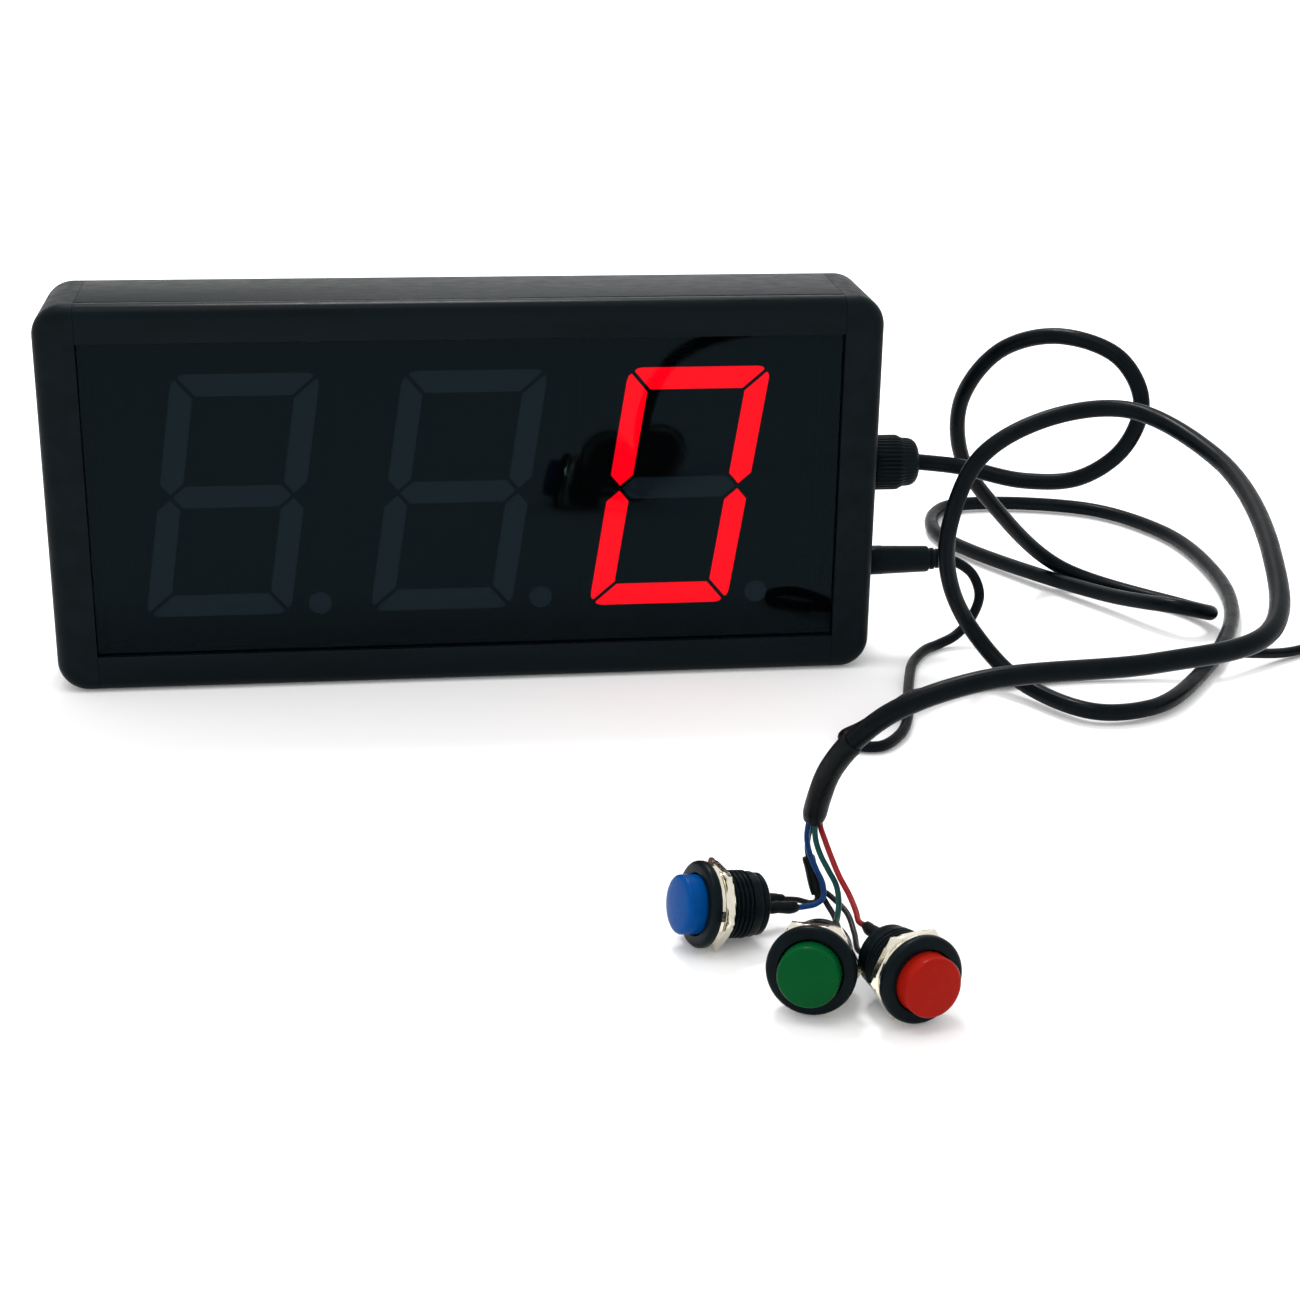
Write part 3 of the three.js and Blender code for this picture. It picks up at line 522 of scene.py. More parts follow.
def smooth_path(points, per_span=12):
    """A centripetal Catmull-Rom curve through points in mm, as points in metres."""
    knots = [Vector(p) for p in points]
    knots = [2 * knots[0] - knots[1], *knots, 2 * knots[-1] - knots[-2]]
    path = []
    for p0, p1, p2, p3 in zip(knots, knots[1:], knots[2:], knots[3:]):
        t0 = 0.0
        t1 = t0 + math.sqrt((p1 - p0).length)
        t2 = t1 + math.sqrt((p2 - p1).length)
        t3 = t2 + math.sqrt((p3 - p2).length)
        for i in range(per_span):
            t = t1 + (t2 - t1) * i / per_span
            a1 = p0.lerp(p1, (t - t0) / (t1 - t0))
            a2 = p1.lerp(p2, (t - t1) / (t2 - t1))
            a3 = p2.lerp(p3, (t - t2) / (t3 - t2))
            b1 = a1.lerp(a2, (t - t0) / (t2 - t0))
            b2 = a2.lerp(a3, (t - t1) / (t3 - t1))
            path.append(b1.lerp(b2, (t - t1) / (t2 - t1)) * MM)
    path.append(knots[-2] * MM)
    return path


def along(path):
    """An axis system at each point of a path, turning as little as possible."""
    places = []
    side = None
    for i, point in enumerate(path):
        ahead = (path[min(i + 1, len(path) - 1)] - path[max(i - 1, 0)]).normalized()
        if side is None:
            side = ahead.orthogonal().normalized()
        side = (side - ahead * side.dot(ahead)).normalized()
        over = ahead.cross(side)
        places.append((point, side, over))
    return places


def swept_rings(path, sides, radius_at):
    """Rings about a path; radius_at(share of the way, angle) gives the radius in metres."""
    rings = []
    places = along(path)
    for i, (point, side, over) in enumerate(places):
        share = i / (len(places) - 1)
        ring = []
        for k in range(sides):
            angle = 2 * math.pi * k / sides
            reach = radius_at(share, angle)
            ring.append(point + side * reach * math.cos(angle) + over * reach * math.sin(angle))
        rings.append(ring)
    return rings


# ---- cords -----------------------------------------------------------------------------------

def add_tube(name, path, diameter, finish, nodes):
    """A round tube along a path, as a curve."""
    curve = bpy.data.curves.new(name, "CURVE")
    curve.dimensions = "3D"
    curve.bevel_depth = diameter * MM / 2
    curve.bevel_resolution = 5
    curve.use_fill_caps = True
    spline = curve.splines.new("POLY")
    spline.points.add(len(path) - 1)
    for point, place in zip(spline.points, path):
        point.co = (*place, 1)
    spline.use_smooth = True
    tube = bpy.data.objects.new(name, curve)
    bpy.context.scene.collection.objects.link(tube)
    curve.materials.append(finish)
    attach(tube, ROOT)
    if nodes:
        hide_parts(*nodes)
    return tube


def add_cord(name, path, diameter, finish, slot, nodes, far_end, length=None, **facts):
    """A tube along a path, as a curve; its length is not used."""
    add_tube(name, path, diameter, finish, nodes)


def coil_path():
    """The power lead's stored turns, from the lowest outer one, as points in mm."""
    per_turn = 40
    shift_share = 0.16
    path = []
    for i in range(1, int(COIL_TURNS * per_turn) + 1):
        turn = i / per_turn
        now = COIL_CELLS[min(int(turn), len(COIL_CELLS) - 1)]
        later = COIL_CELLS[min(int(turn) + 1, len(COIL_CELLS) - 1)]
        share = max(0.0, (turn % 1 - 1 + shift_share) / shift_share)
        ease = share * share * (3 - 2 * share)
        step = now[0] + (later[0] - now[0]) * ease
        layer = now[1] + (later[1] - now[1]) * ease
        radius = COIL_RADIUS + step * POWER_LEAD
        angle = 2 * math.pi * turn - math.pi / 2
        path.append((
            COIL_CENTRE[0] + radius * math.cos(angle),
            COIL_CENTRE[1] + radius * math.sin(angle),
            COIL_FLOOR + layer * POWER_LEAD,
        ))
    return path


def add_control_cable():
    """The cable and its end sleeve, on one smooth path. The cable's end is inside the sleeve."""
    per_span = 12
    whole = smooth_path(CONTROL_CABLE_ROUTE + END_SLEEVE_ROUTE, per_span)
    joint = per_span * (len(CONTROL_CABLE_ROUTE) - 1)
    sleeve_path = whole[joint + 2:]

    def sleeve_radius(share, angle):
        base = SLEEVE * MM / 2
        rim = 0.12 * MM * math.sin(3 * angle + 1) * math.exp(-(share / 0.12) ** 2)
        lumps = 0.1 * MM * math.sin(9 * share + angle) * math.sin(2 * angle + 4 * share)
        end = 0.55 * MM * max(0.0, (share - 0.9) / 0.1) ** 2
        start = 0.25 * MM * max(0.0, (0.06 - share) / 0.06) ** 2
        return base + rim + lumps - end - start

    rings = swept_rings(sleeve_path, 32, sleeve_radius)
    sleeve = add_skin("end_sleeve_skin", rings, shrink_finish(), ROOT, "cable_end_sleeve",
                      "cable_end_sleeve")
    path = whole[:joint + per_span]
    add_cord("control_cable_skin", path, CONTROL_CABLE, jacket_finish(), "control_cable",
             ["control_cable"], "connector", stiffness="stiff", with_pieces=[sleeve])


def add_wires():
    """The three coloured wires, and the common one with its splice and branches."""
    finishes = {
        "wire_blue": wire_finish("wire_blue_pvc", (0.0, 0.03, 0.12)),
        "wire_green": wire_finish("wire_green_pvc", (0.0, 0.045, 0.042)),
        "wire_red": wire_finish("wire_red_pvc", (0.23, 0.006, 0.009)),
    }
    for name, route in WIRE_ROUTES.items():
        colour = name.removeprefix("wire_")
        add_cord(f"{name}_skin", smooth_path(route), WIRE, finishes[name], name, [name],
                 "connector", stiffness="limp", with_pieces=[f"{colour}_terminals_skin"])
    black = wire_finish("wire_black_pvc", (0.008, 0.008, 0.009))
    splice_path = smooth_path(COMMON_SPLICE, 10)

    def splice_radius(share, angle):
        taper = 0.25 * abs(2 * share - 1) ** 6
        lumps = 0.06 * math.sin(7 * share + 2 * angle)
        return (SPLICE / 2 - taper + lumps) * MM

    rings = swept_rings(splice_path, 24, splice_radius)
    splice = add_skin("common_splice_skin", rings, shrink_finish(), ROOT, "wire_common",
                      "wire_common")
    pieces = [splice, "red_terminals_skin"]
    for name, route in COMMON_BRANCHES.items():
        pieces.append(add_tube(name, smooth_path(route), WIRE, black, []))
    add_cord("wire_common_skin", smooth_path(COMMON_TO_RED_ROUTE), WIRE, black, "wire_common",
             [], "connector", stiffness="limp", with_pieces=pieces)


def add_power_lead():
    """The lead on the table, its stored turns and its end in the adapter, as one path."""
    adapter = add_adapter()
    tie = add_coil_tie()
    turns = coil_path()
    path = smooth_path(POWER_LEAD_ROUTE) + [Vector(p) * MM for p in turns]
    path += smooth_path([turns[-1], *POWER_LEAD_END_ROUTE])[1:]
    add_cord("power_lead_skin", path, POWER_LEAD, jacket_finish("lead_jacket", 0.36),
             "power_lead", ["power_lead", "power_lead_coil", "power_lead_end"], "plug",
             length=1.2, lay="coiled", with_pieces=[adapter, tie])


def add_coil_tie():
    """A soft strap round the coil, on its far side."""
    half_width = 4
    thickness = 0.35
    half = 1.5 * POWER_LEAD + thickness
    height = 3 * POWER_LEAD
    centre = Vector((*COIL_CENTRE, 0))
    turn = math.radians(40)
    outward = Vector((math.cos(turn), math.sin(turn), 0))
    sideways = Vector((-outward.y, outward.x, 0))
    middle = centre + outward * COIL_RADIUS + Vector((0, 0, height / 2 + 0.25))
    outline = [(-half, -height / 2), (half, -height / 2), (half, height / 2 + 0.2),
               (-half, height / 2 + 0.2), (-half, -height / 2)]
    outline = rounded(outline, 1.6, 4)
    rings = []
    for side, grow in ((-1, 0), (-1, thickness), (1, thickness), (1, 0)):
        ring = []
        for x, z in outline[:-1]:
            scale_x = 1 + grow / half
            scale_z = 1 + grow / (height / 2)
            place = middle + outward * x * scale_x + Vector((0, 0, max(z * scale_z, -height / 2)))
            ring.append((place + sideways * side * half_width) * MM)
        rings.append(ring)
    return add_skin("coil_tie", rings, strap_finish(), ROOT, "power_lead_coil",
                    closed_rows=True)


def rounded_box(name, low, high, radius):
    """A box between two corners in metres, with rounded edges."""
    mesh = bmesh.new()
    bmesh.ops.create_cube(mesh, size=1)
    size = Vector(high) - Vector(low)
    middle = (Vector(high) + Vector(low)) / 2
    for vertex in mesh.verts:
        vertex.co = Vector([c * s for c, s in zip(vertex.co, size)]) + middle
    bmesh.ops.bevel(mesh, geom=list(mesh.edges), offset=radius, segments=5, profile=0.5,
                    affect="EDGES", clamp_overlap=True)
    return stored(mesh, name)


def add_adapter():
    """The wall adapter: a body with a parting groove, blades and a ribbed lead relief."""
    low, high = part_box("power_adapter")
    blade_reach = 16 * MM
    relief_reach = 7 * MM
    body_low = Vector((low.x, low.y + blade_reach, low.z))
    body_high = Vector((high.x, high.y - relief_reach, high.z))
    shell = moulded_finish("adapter_shell", 0.15, 0.42)
    split = (low.z + high.z) / 2
    groove = 0.35 * MM
    past_sides = Vector((1, 1, 0)) * MM
    grooves = []
    for axis in (0, 1):
        for corner in (body_low, body_high):
            start = body_low - past_sides
            end = body_high + past_sides
            start[axis] = corner[axis] - groove
            end[axis] = corner[axis] + groove
            start.z, end.z = split - groove, split + groove
            grooves.append(rounded_box("groove", start, end, 0))
    mesh = carved(rounded_box("adapter_shell", body_low, body_high, 2.6 * MM), grooves)
    body = add_mesh("adapter_body", mesh, shell, ROOT, "power_adapter", "power_adapter",
                    smooth=30)
    middle_x = (low.x + high.x) / 2
    add_adapter_blades(middle_x, split, low.y, body_low.y + 2 * MM)
    add_adapter_relief(middle_x, body_high.y - 0.3 * MM)
    return body


def add_adapter_blades(middle_x, middle_z, tip, root):
    """Two flat blades along Y, one over the other."""
    nickel = nickel_finish()
    for side, word in ((-1, "lower"), (1, "upper")):
        z = middle_z + side * 6.3 * MM
        start = (middle_x - 3.2 * MM, tip, z - 0.75 * MM)
        end = (middle_x + 3.2 * MM, root, z + 0.75 * MM)
        name = f"adapter_blade_{word}"
        add_mesh(name, rounded_box(name, start, end, 0.35 * MM), nickel, ROOT, "power_adapter")


def add_adapter_relief(middle_x, foot_y):
    """The ribbed relief where the lead goes in."""
    height = POWER_LEAD_END_ROUTE[-1][2]
    profile = [(3.4, 0), (3.4, 1.4)]
    for i in range(4):
        foot = 1.3 * i
        rib = 3.1 - 0.15 * i
        profile += [(2.5, foot + 1.6), (2.5, foot + 2.1), (rib, foot + 2.3), (rib, foot + 2.7)]
    profile.append((1.75, 7.2))
    matrix = (Matrix.Translation((middle_x, foot_y, height * MM))
              @ Matrix.Rotation(-math.pi / 2, 4, "X"))
    add_skin("adapter_relief", turned_rings(profile, 32, matrix), rubber_finish(), ROOT,
             "power_adapter")


# ---- case ------------------------------------------------------------------------------------

def on_right_end(height, y=0):
    """The matrix that turns +Z to +X at a height and a depth, in metres."""
    return Matrix.Translation((0, y, height)) @ Matrix.Rotation(math.pi / 2, 4, "Y")


def paint_cad_nodes():
    """Finishes for the CAD pieces that are shown as they are."""
    moulded = moulded_finish()
    face = digit_face_finish()
    chips = chip_finish()
    header = header_finish()
    nickel = nickel_finish()
    finishes = {
        "rear_cover": cover_finish(),
        "front_window": window_finish(),
        "display_board": board_finish(),
        "controller_chip": chips,
        "cable_header": header,
        "power_header": header,
        "inner_control_lead": jacket_finish("inner_jacket"),
        "inner_power_lead": jacket_finish("inner_power_jacket"),
        "gland_body": moulded,
        "gland_locknut": moulded,
        "gland_seal": rubber_finish(),
        "dc_jack": moulded_finish("jack_black", 0.2, 0.4),
        "dc_jack_nut": nickel,
    }
    for i in range(1, 4):
        finishes[f"digit_housing_{i}"] = face
        finishes[f"digit_driver_{i}"] = chips
    for colour in COLOURS:
        finishes[f"{colour}_button_washer"] = nickel
    for name, finish in finishes.items():
        for material_slot in frame["nodes"][name].material_slots:
            material_slot.material = finish


def segment_outlines():
    """The slanted outlines of seven segments: the top one, on clockwise, then the middle one."""
    half_width, half_height, wide, corner = 21.15, 36.75, 6.6, 3.95
    gap = 0.55 * math.sqrt(2)
    cut = corner * (1 - math.sqrt(0.5))

    def rounding(start, end):
        turns = [math.radians(start + (end - start) * i / 6) for i in range(7)]
        return [(-half_width + corner * (1 + math.cos(a)),
                 half_height - corner * (1 - math.sin(a))) for a in turns]

    half = [(-half_width + wide + gap, half_height - wide),
            (-half_width + cut + gap, half_height - cut), *rounding(126, 90)]
    top = half + [(-x, y) for x, y in reversed(half)]
    left = [(-half_width + wide, half_height - wide - gap), (-half_width + wide, wide / 2 + gap),
            (-half_width + wide / 2, gap), (-half_width, wide / 2 + gap), *rounding(180, 144),
            (-half_width + cut, half_height - cut - gap)]
    reach = half_width - wide - gap
    point = half_width - wide / 2 - gap
    middle = [(-point, 0), (-reach, wide / 2), (reach, wide / 2), (point, 0),
              (reach, -wide / 2), (-reach, -wide / 2)]
    right = [(-x, y) for x, y in left]
    lower_right = [(x, -y) for x, y in right]
    lower_left = [(x, -y) for x, y in left]
    bottom = [(x, -y) for x, y in top]
    slant = math.tan(math.radians(8.8))
    shift = -3.2
    return [[(x + y * slant + shift, y) for x, y in outline]
            for outline in (top, right, lower_right, bottom, lower_left, left, middle)]


def prism_mesh(name, outlines, x, z, front, back, edge):
    """Prisms along Y on XZ outlines, each with a small chamfer round its front."""
    mesh = bmesh.new()
    for outline in outlines:
        middle_x = sum(p[0] for p in outline) / len(outline)
        middle_y = sum(p[1] for p in outline) / len(outline)
        rows = []
        for place, shrink in ((front, edge), (front + edge, 0), (back, 0)):
            row = []
            for px, py in outline:
                inward = Vector((middle_x - px, middle_y - py)).normalized() * shrink
                point = Vector((x + px + inward.x, place, z + py + inward.y))
                row.append(mesh.verts.new(point * MM))
            rows.append(row)
        count = len(outline)
        for near, far in zip(rows, rows[1:]):
            for i in range(count):
                j = (i + 1) % count
                mesh.faces.new((near[i], near[j], far[j], far[i]))
        mesh.faces.new(rows[0])
        mesh.faces.new(list(reversed(rows[-1])))
    bmesh.ops.recalc_face_normals(mesh, faces=mesh.faces)
    return stored(mesh, name)


def add_digits(unlit, surround):
    """Diffusers in front of each module's light guide. The last digit is a lit zero."""
    lit = lit_finish()
    outlines = segment_outlines()
    dot_x, dot_y, dot_radius = 21.2, -33.7, 3.45
    dot = [(dot_x + dot_radius * math.cos(a), dot_y + dot_radius * math.sin(a))
           for a in [2 * math.pi * i / 40 for i in range(40)]]
    for number in (1, 2, 3):
        node = f"digit_segments_{number}"
        low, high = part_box(node)
        front = low.y / MM
        back = high.y / MM - 1.5
        x = (low.x + high.x) / 2 / MM
        z = (low.z + high.z) / 2 / MM
        off = [*outlines, dot] if number < 3 else [outlines[-1], dot]
        mesh = prism_mesh(f"{node}_unlit", off, x, z, front, back, 0.2)
        add_mesh(f"{node}_unlit", mesh, unlit, ROOT, node, node, smooth=30)
        slab_low = (low.x, high.y - 1.4 * MM, low.z)
        slab = rounded_box(f"{node}_slab", slab_low, high, 0.3 * MM)
        add_mesh(f"{node}_slab", slab, surround, ROOT, node)
        if number == 3:
            mesh = prism_mesh(f"{node}_lit", outlines[:-1], x, z, front, back, 0.2)
            add_mesh(f"{node}_lit", mesh, lit, ROOT, node, smooth=30)


def rail_section():
    """The upper rail's section as (y, z) in mm, with its edges finely rounded."""
    front, back, top, edge = -CASE_REACH, CASE_REACH, CASE_TOP, CASE_EDGE
    wall = 1.8
    lip, slot_top = top - 11, top - 5
    window_back, flange_back = -14.7, -13.5
    cover_flange, cover_front = 14.3, 15.5
    groove = front + edge + 1.2
    half_groove = [(0.75, 0), (0.6, 0.06), (0.12, 0.5)]

    def arc(y, z, radius, start, end, steps=14):
        turns = [math.radians(start + (end - start) * i / steps) for i in range(steps + 1)]
        return [(y + radius * math.cos(a), z + radius * math.sin(a)) for a in turns]

    def rib(near, far):
        """A rib that hangs from the wall."""
        return [(near, top - wall), (near, top - wall - 3), (far, top - wall - 3),
                (far, top - wall)]

    return [
        *arc(front + 0.35, lip + 0.35, 0.35, 180, 270, 4), (front + wall - 0.1, lip),
        (front + wall - 0.1, slot_top), (window_back, slot_top), (window_back, lip),
        (flange_back, lip), (flange_back, top - wall), *rib(-3, -1.8), *rib(0.4, 1.6),
        (cover_flange, top - wall), (cover_flange, lip + 1), (cover_front, lip + 1),
        (cover_front, slot_top), (back - wall + 0.1, slot_top), (back - wall + 0.1, lip + 1),
        (back, lip + 1), *arc(back - edge, top - edge, edge, 0, 90),
        *[(groove + reach, top - depth) for reach, depth in half_groove],
        *[(groove - reach, top - depth) for reach, depth in reversed(half_groove)],
        *arc(front + edge, top - edge, edge, 90, 180),
    ]


def add_rails(finish):
    """The two rails, each a mirror image of the other."""
    reach = CAP_INNER - 0.1
    for node, flip in (("upper_rail", False), ("lower_rail", True)):
        section = [(y, CASE_TOP - z if flip else z) for y, z in rail_section()]
        rings = [[Vector((x, y, z)) * MM for y, z in section] for x in (-reach, reach)]
        add_skin(f"{node}_extrusion", rings, finish, ROOT, node, node, smooth=30)


def cap_mesh():
    """The right end cap's outside: rounded corners and edges on three sides, flat inside."""
    corner, steps = 9.0, 12

    def level(y, inset):
        radius = corner - inset
        ring = [Vector((CAP_INNER, y, inset))]
        for z, start in ((corner, -90), (CASE_TOP - corner, 0)):
            for i in range(steps + 1):
                a = math.radians(start + 90 * i / steps)
                ring.append(Vector((CASE_END - corner + radius * math.cos(a), y,
                                    z + radius * math.sin(a))))
        ring.append(Vector((CAP_INNER, y, CASE_TOP - inset)))
        return [point * MM for point in ring]

    turns = [math.radians(90 * i / steps) for i in range(steps + 1)]
    rounding = [(-CASE_REACH + CASE_EDGE * (1 - math.cos(a)), CASE_EDGE * (1 - math.sin(a)))
                for a in turns]
    levels = rounding + [(-y, inset) for y, inset in reversed(rounding)]
    return grid_mesh("cap_body", [level(y, inset) for y, inset in levels])


def box_mesh(low, high):
    """A plain box between two corners in mm, to cut with."""
    return rounded_box("cutter", Vector(low) * MM, Vector(high) * MM, 0)


def carved(mesh, cutters):
    """A mesh with the cutters' shapes taken out of it."""
    body = bpy.data.objects.new("carved", mesh)
    bpy.context.scene.collection.objects.link(body)
    tools = []
    for cutter in cutters:
        tool = bpy.data.objects.new("cutter", cutter)
        bpy.context.scene.collection.objects.link(tool)
        tools.append(tool)
        modifier = body.modifiers.new("cut", "BOOLEAN")
        modifier.operation = "DIFFERENCE"
        modifier.solver = "EXACT"
        modifier.object = tool
    graph = bpy.context.evaluated_depsgraph_get()
    result = bpy.data.meshes.new_from_object(body.evaluated_get(graph))
    for item in (body, *tools):
        bpy.data.objects.remove(item)
    return result


def add_end_caps(finish):
    """End caps with slots for the window and cover, screw recesses and the outlets' holes."""
    inside, past_end, slot_end = CAP_INNER - 1.5, CASE_END + 2.5, 115.5
    # The hollow, then the window's and the cover's slots, each as
    # (front, back, distance from the case's top and bottom, end).
    slots = [(-11, 13, 11, 120), (-18.3, -14.7, 5, slot_end), (15.5, 18.3, 5, slot_end)]
    for side, node in ((-1, "left_end_cap"), (1, "right_end_cap")):
        cutters = [box_mesh((inside, front, margin), (end, back, CASE_TOP - margin))
                   for front, back, margin, end in slots]
        holes = []
        for height in SCREW_HEIGHTS:
            place = on_right_end(height * MM, SCREW_Y * MM)
            holes += [(place, 1.7, inside), (place, 3.2, 117.5)]
        if side > 0:
            holes.append((on_right_end(CABLE_OUTLET_HEIGHT * MM), 6.3, inside))
            holes.append((on_right_end(JACK_HEIGHT * MM), 4.3, inside))
        for place, radius, start in holes:
            rings = turned_rings([(radius, start), (radius, past_end)], 48, place)
            cutters.append(grid_mesh("hole", rings))
        mesh = carved(cap_mesh(), cutters)
        if side < 0:
            mesh.transform(Matrix.Scale(-1, 4, (1, 0, 0)))
            mesh.flip_normals()
        add_mesh(f"{node}_moulding", mesh, finish, ROOT, node, node, smooth=35)


def add_gland_nut():
    """The gland's domed cap nut, with grip ribs."""
    low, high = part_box("gland_cap_nut")
    height = (low.z + high.z) / 2
    start = low.x / MM
    end = high.x / MM
    ribs = 40

    def ribbed(radius, place, angle):
        """Deep ribs on the straight grip, shallow ones on the dome."""
        if radius < 6.9 or not start + 0.4 < place < start + 12:
            return radius
        wave = 0.5 + 0.5 * math.cos(ribs * angle)
        depth = 0.5 if place < start + 8 else 0.2
        return radius - depth * wave ** 2

    profile = [
        (6.3, start), (8.1, start), (8.5, start + 0.5), (8.5, start + 7.2),
        (8.4, start + 7.7), (7.7, start + 9), (7.5, start + 9.5), (7.48, start + 10.5),
        (7.35, start + 11.6), (6.95, start + 12.6), (6.3, start + 13.35),
        (5.4, start + 13.85), (4.4, end), (2.9, end - 0.1), (2.9, end - 5.4),
        (6.3, end - 5.6),
    ]
    rings = turned_rings(profile, ribs * 6, on_right_end(height), ribbed)
    add_skin("gland_nut_ribbed", rings, moulded_finish("gland_nylon", 0.06, 0.36), ROOT,
             "gland_cap_nut", "gland_cap_nut", closed_rows=True, smooth=50)


def add_dc_plug():
    """The straight plug: a smooth grip, a groove and a segmented relief."""
    low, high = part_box("dc_plug")
    height = (low.z + high.z) / 2
    end = high.x / MM
    face = end - 24.6
    profile = [
        (1.15, face - 9), (2.7, face - 9), (2.7, face), (4.3, face), (4.6, face + 0.4),
        (4.6, face + 5), (4.5, face + 5.4), (4.12, face + 19.4), (3.9, face + 20),
        (3.0, face + 20.2), (3.0, face + 20.7), (3.45, face + 20.9), (3.45, face + 21.8),
        (2.8, face + 22), (2.8, face + 22.5), (3.15, face + 22.7), (3.1, face + 23.4),
        (2.4, face + 23.6), (2.35, end - 0.2), (1.7, end), (1.7, end - 1.5), (1.15, end - 2),
    ]
    rings = turned_rings(profile, 48, on_right_end(height))
    add_skin("dc_plug_grip", rings, moulded_finish("plug_pvc", 0.05, 0.36), ROOT, "dc_plug",
             "dc_plug", closed_rows=True)


def add_screws():
    """Pan-head screws with a cross recess, in the end caps."""
    finish = black_oxide_finish()
    head = [(1.2, -16), (1.2, -1.8), (2.7, -1.8), (2.9, -1.6), (2.9, -0.9), (2.75, -0.5),
            (2.3, -0.12), (1.9, 0)]
    recess = [(1.0, 0.0), (0.55, -0.9), (0.1, -1.1)]

    def cross(reach, height, angle):
        lobe = max(abs(math.cos(angle)), abs(math.sin(angle)))
        return reach * (0.45 + 1.2 * max(0.0, (lobe - 0.9) / 0.1))

    for side_name, side in (("left", -1), ("right", 1)):
        for end_name in ("upper", "lower"):
            node = f"{side_name}_{end_name}_cap_screw"
            low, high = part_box(node)
            top = high.x if side > 0 else low.x
            middle = Vector((top, (low.y + high.y) / 2, (low.z + high.z) / 2))
            matrix = Matrix.Translation(middle) @ Matrix.Rotation(side * math.pi / 2, 4, "Y")
            rings = turned_rings(head, 48, matrix) + turned_rings(recess, 48, matrix, cross)
            add_skin(f"{node}_detail", rings, finish, ROOT, node, node, smooth=30)


# ---- push-buttons ----------------------------------------------------------------------------

def button_matrix(colour):
    """A button's axis system, from its press joint: +Z out of its face, origin in its flange."""
    joint = next(j for j in frame["joints"] if j["name"] == f"{colour}_press")
    out = -Vector(joint["axis"]).normalized()
    across = Vector((0, 0, 1)).cross(out).normalized()
    over = out.cross(across)
    turn = Matrix((across, over, out)).transposed().to_4x4()
    return Matrix.Translation(joint["pos_m"]) @ turn


def add_button_housing(colour, matrix, finish):
    """Bevelled flange and a barrel with a coarse thread and a plain rear."""
    pitch = 1.2

    def threaded(radius, height, angle):
        """Flat-topped ridges that climb one pitch in a turn."""
        if radius < 7.9 or not -9.6 < height < -0.4:
            return radius
        phase = (height / pitch - angle / (2 * math.pi)) % 1
        ridge = 1 - abs(2 * phase - 1)
        return radius - 0.65 * (1 - min(1.0, ridge * 1.5))

    profile = [(7.3, 2.25), (7.5, 2.4), (9.2, 2.35), (9.75, 2.1), (10.1, 1.65), (10.2, 1.2),
               (10.2, 0.3), (10.05, 0), (8, 0), (8, -0.4)]
    steps = 92
    profile += [(8, -0.5 - 9.2 * i / steps) for i in range(steps + 1)]
    profile += [(7.75, -9.8), (7.75, -11.6), (7.5, -12.2), (6.6, -12.2), (6.6, -6.4),
                (7.3, -6.4)]
    rings = turned_rings(profile, 96, matrix, threaded)
    node = f"{colour}_button_housing"
    add_skin(f"{colour}_housing_skin", rings, finish, ROOT, node, node, closed_rows=True,
             smooth=35)


def add_button_cap(colour, matrix, finish):
    """The pressed cap, with a rounded rim and a slight dome."""
    profile = [(1.5, -8.4), (1.5, -2.6), (6.8, -2.6), (7.0, -2.4), (7.0, 5.7), (6.95, 6.1),
               (6.75, 6.45), (6.4, 6.68), (5.8, 6.82), (4.4, 7.0), (2.6, 7.13), (0.8, 7.19),
               (0.2, 7.2)]
    rings = turned_rings(profile, 64, matrix)
    node = f"{colour}_button_cap"
    add_skin(f"{colour}_cap_skin", rings, finish, f"{colour}_plunger", node, node, smooth=50)


def add_button_spring(colour, matrix, finish):
    """The return spring: a coil of wire round the button's axis."""
    radius, wire, low, high, turns = 4.2, 0.3, -10.4, -3.2, 4.5
    steps = 150
    path = []
    for i in range(steps + 1):
        angle = 2 * math.pi * turns * i / steps
        height = low + (high - low) * i / steps
        place = Vector((radius * math.cos(angle), radius * math.sin(angle), height))
        path.append(matrix @ (place * MM))
    rings = swept_rings(path, 10, lambda share, angle: wire * MM)
    node = f"{colour}_button_spring"
    spring = add_skin(f"{colour}_spring_wire", rings, finish, ROOT, node, node, smooth=60)
    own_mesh(spring)


def add_button_nut(colour, matrix, finish):
    """A hexagonal nut with chamfered corners."""
    flats, bore, low, high = 19, 8.3, -3.8, -1.4

    def hexagon(limit, height, angle):
        """The hexagon's radius, or the limit where that is less."""
        sector = math.radians(60)
        offset = angle % sector - sector / 2
        return min(flats / 2 / math.cos(offset), limit)

    profile = [(bore, low), (9.3, low), (10.0, low + 0.35), (11, low + 0.75),
               (11, high - 0.75), (10.0, high - 0.35), (9.3, high), (bore, high)]
    rings = turned_rings(profile, 96, matrix, hexagon)
    node = f"{colour}_button_nut"
    add_skin(f"{colour}_nut_skin", rings, finish, ROOT, node, node, closed_rows=True, smooth=25)


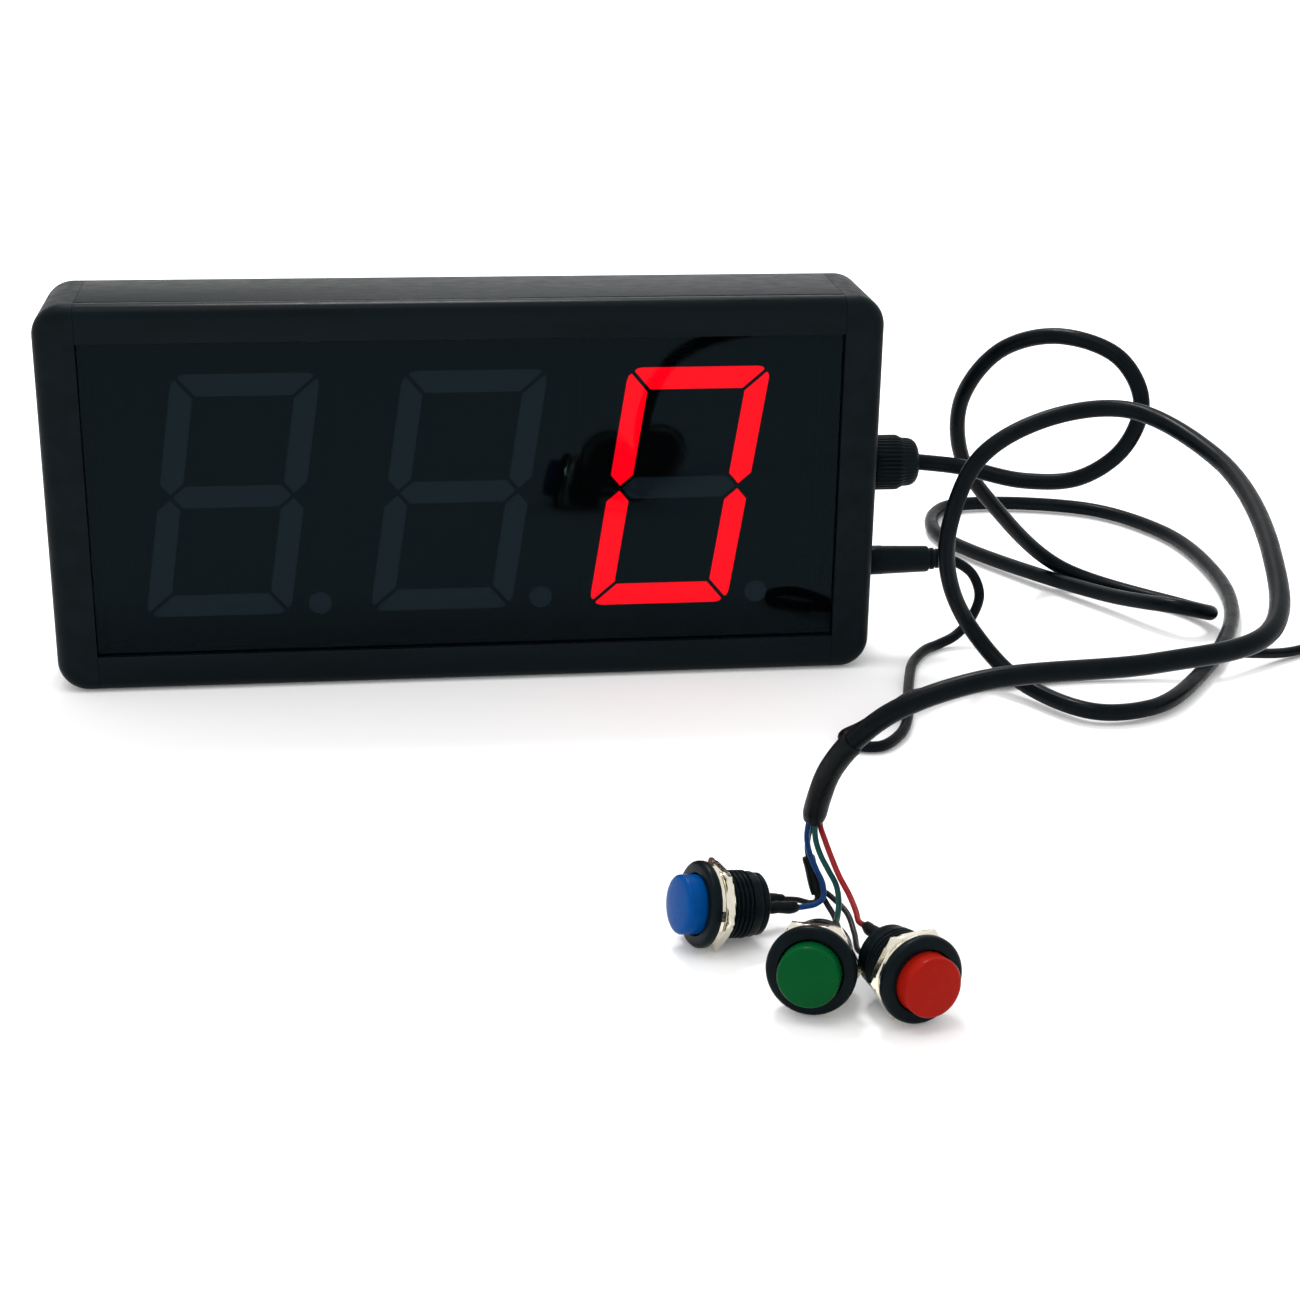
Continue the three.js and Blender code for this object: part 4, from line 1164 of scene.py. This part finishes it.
def add_button_terminals(colour, matrix, base_finish, shrink):
    """The base plate and its two lugs under lumpy heat-shrink."""
    turn = matrix @ Matrix.Rotation(math.radians(BUTTON_ROLL[colour]), 4, "Z")
    base = [(6.3, -11), (6.3, -12.5), (7.2, -12.5), (7.4, -12.7), (7.4, -13.7), (7.1, -14)]
    lug_heights = (-13.9, -15, -16.2, -17.6, -19, -20.6, -21.8, -22.6, -23)
    node = f"{colour}_button_terminals"
    add_skin(f"{colour}_terminals_skin", turned_rings(base, 64, turn), base_finish, ROOT, node,
             node, smooth=35)
    for index, x in enumerate((-3.6, 3.6)):
        path = [turn @ (Vector((x, 0, z)) * MM) for z in lug_heights]

        def lumpy(share, angle):
            flat = 1.6 - 0.35 * abs(math.sin(angle)) * (1 - share)
            ripple = 0.12 * math.sin(14 * share + 2 * index + angle)
            taper = 0.55 * max(0.0, (share - 0.7) / 0.3) ** 1.5
            return (flat + ripple - taper - 0.1) * MM

        rings = swept_rings(path, 24, lumpy)
        add_skin(f"{colour}_lug_sleeve_{index + 1}", rings, shrink, ROOT, node)


def add_buttons():
    caps = {
        "blue": button_cap_finish("cap_blue", (0.0, 0.051, 0.216)),
        "green": button_cap_finish("cap_green", (0.0005, 0.061, 0.014)),
        "red": button_cap_finish("cap_red", (0.27, 0.008, 0.004)),
    }
    body = moulded_finish("button_nylon", 0.055, 0.34)
    nickel = nickel_finish()
    shrink = shrink_finish()
    spring = spring_finish()
    for colour in COLOURS:
        matrix = button_matrix(colour)
        add_button_spring(colour, matrix, spring)
        add_button_housing(colour, matrix, body)
        add_button_cap(colour, matrix, caps[colour])
        add_button_nut(colour, matrix, nickel)
        add_button_terminals(colour, matrix, body, shrink)


# ---- scene -----------------------------------------------------------------------------------

add_camera()
add_lights()
add_floor()
paint_cad_nodes()
add_rails(rail_finish())
add_end_caps(moulded_finish("cap_moulding"))
add_digits(unlit_finish(), digit_face_finish())
add_buttons()
add_gland_nut()
add_dc_plug()
add_screws()
add_control_cable()
add_wires()
add_power_lead()
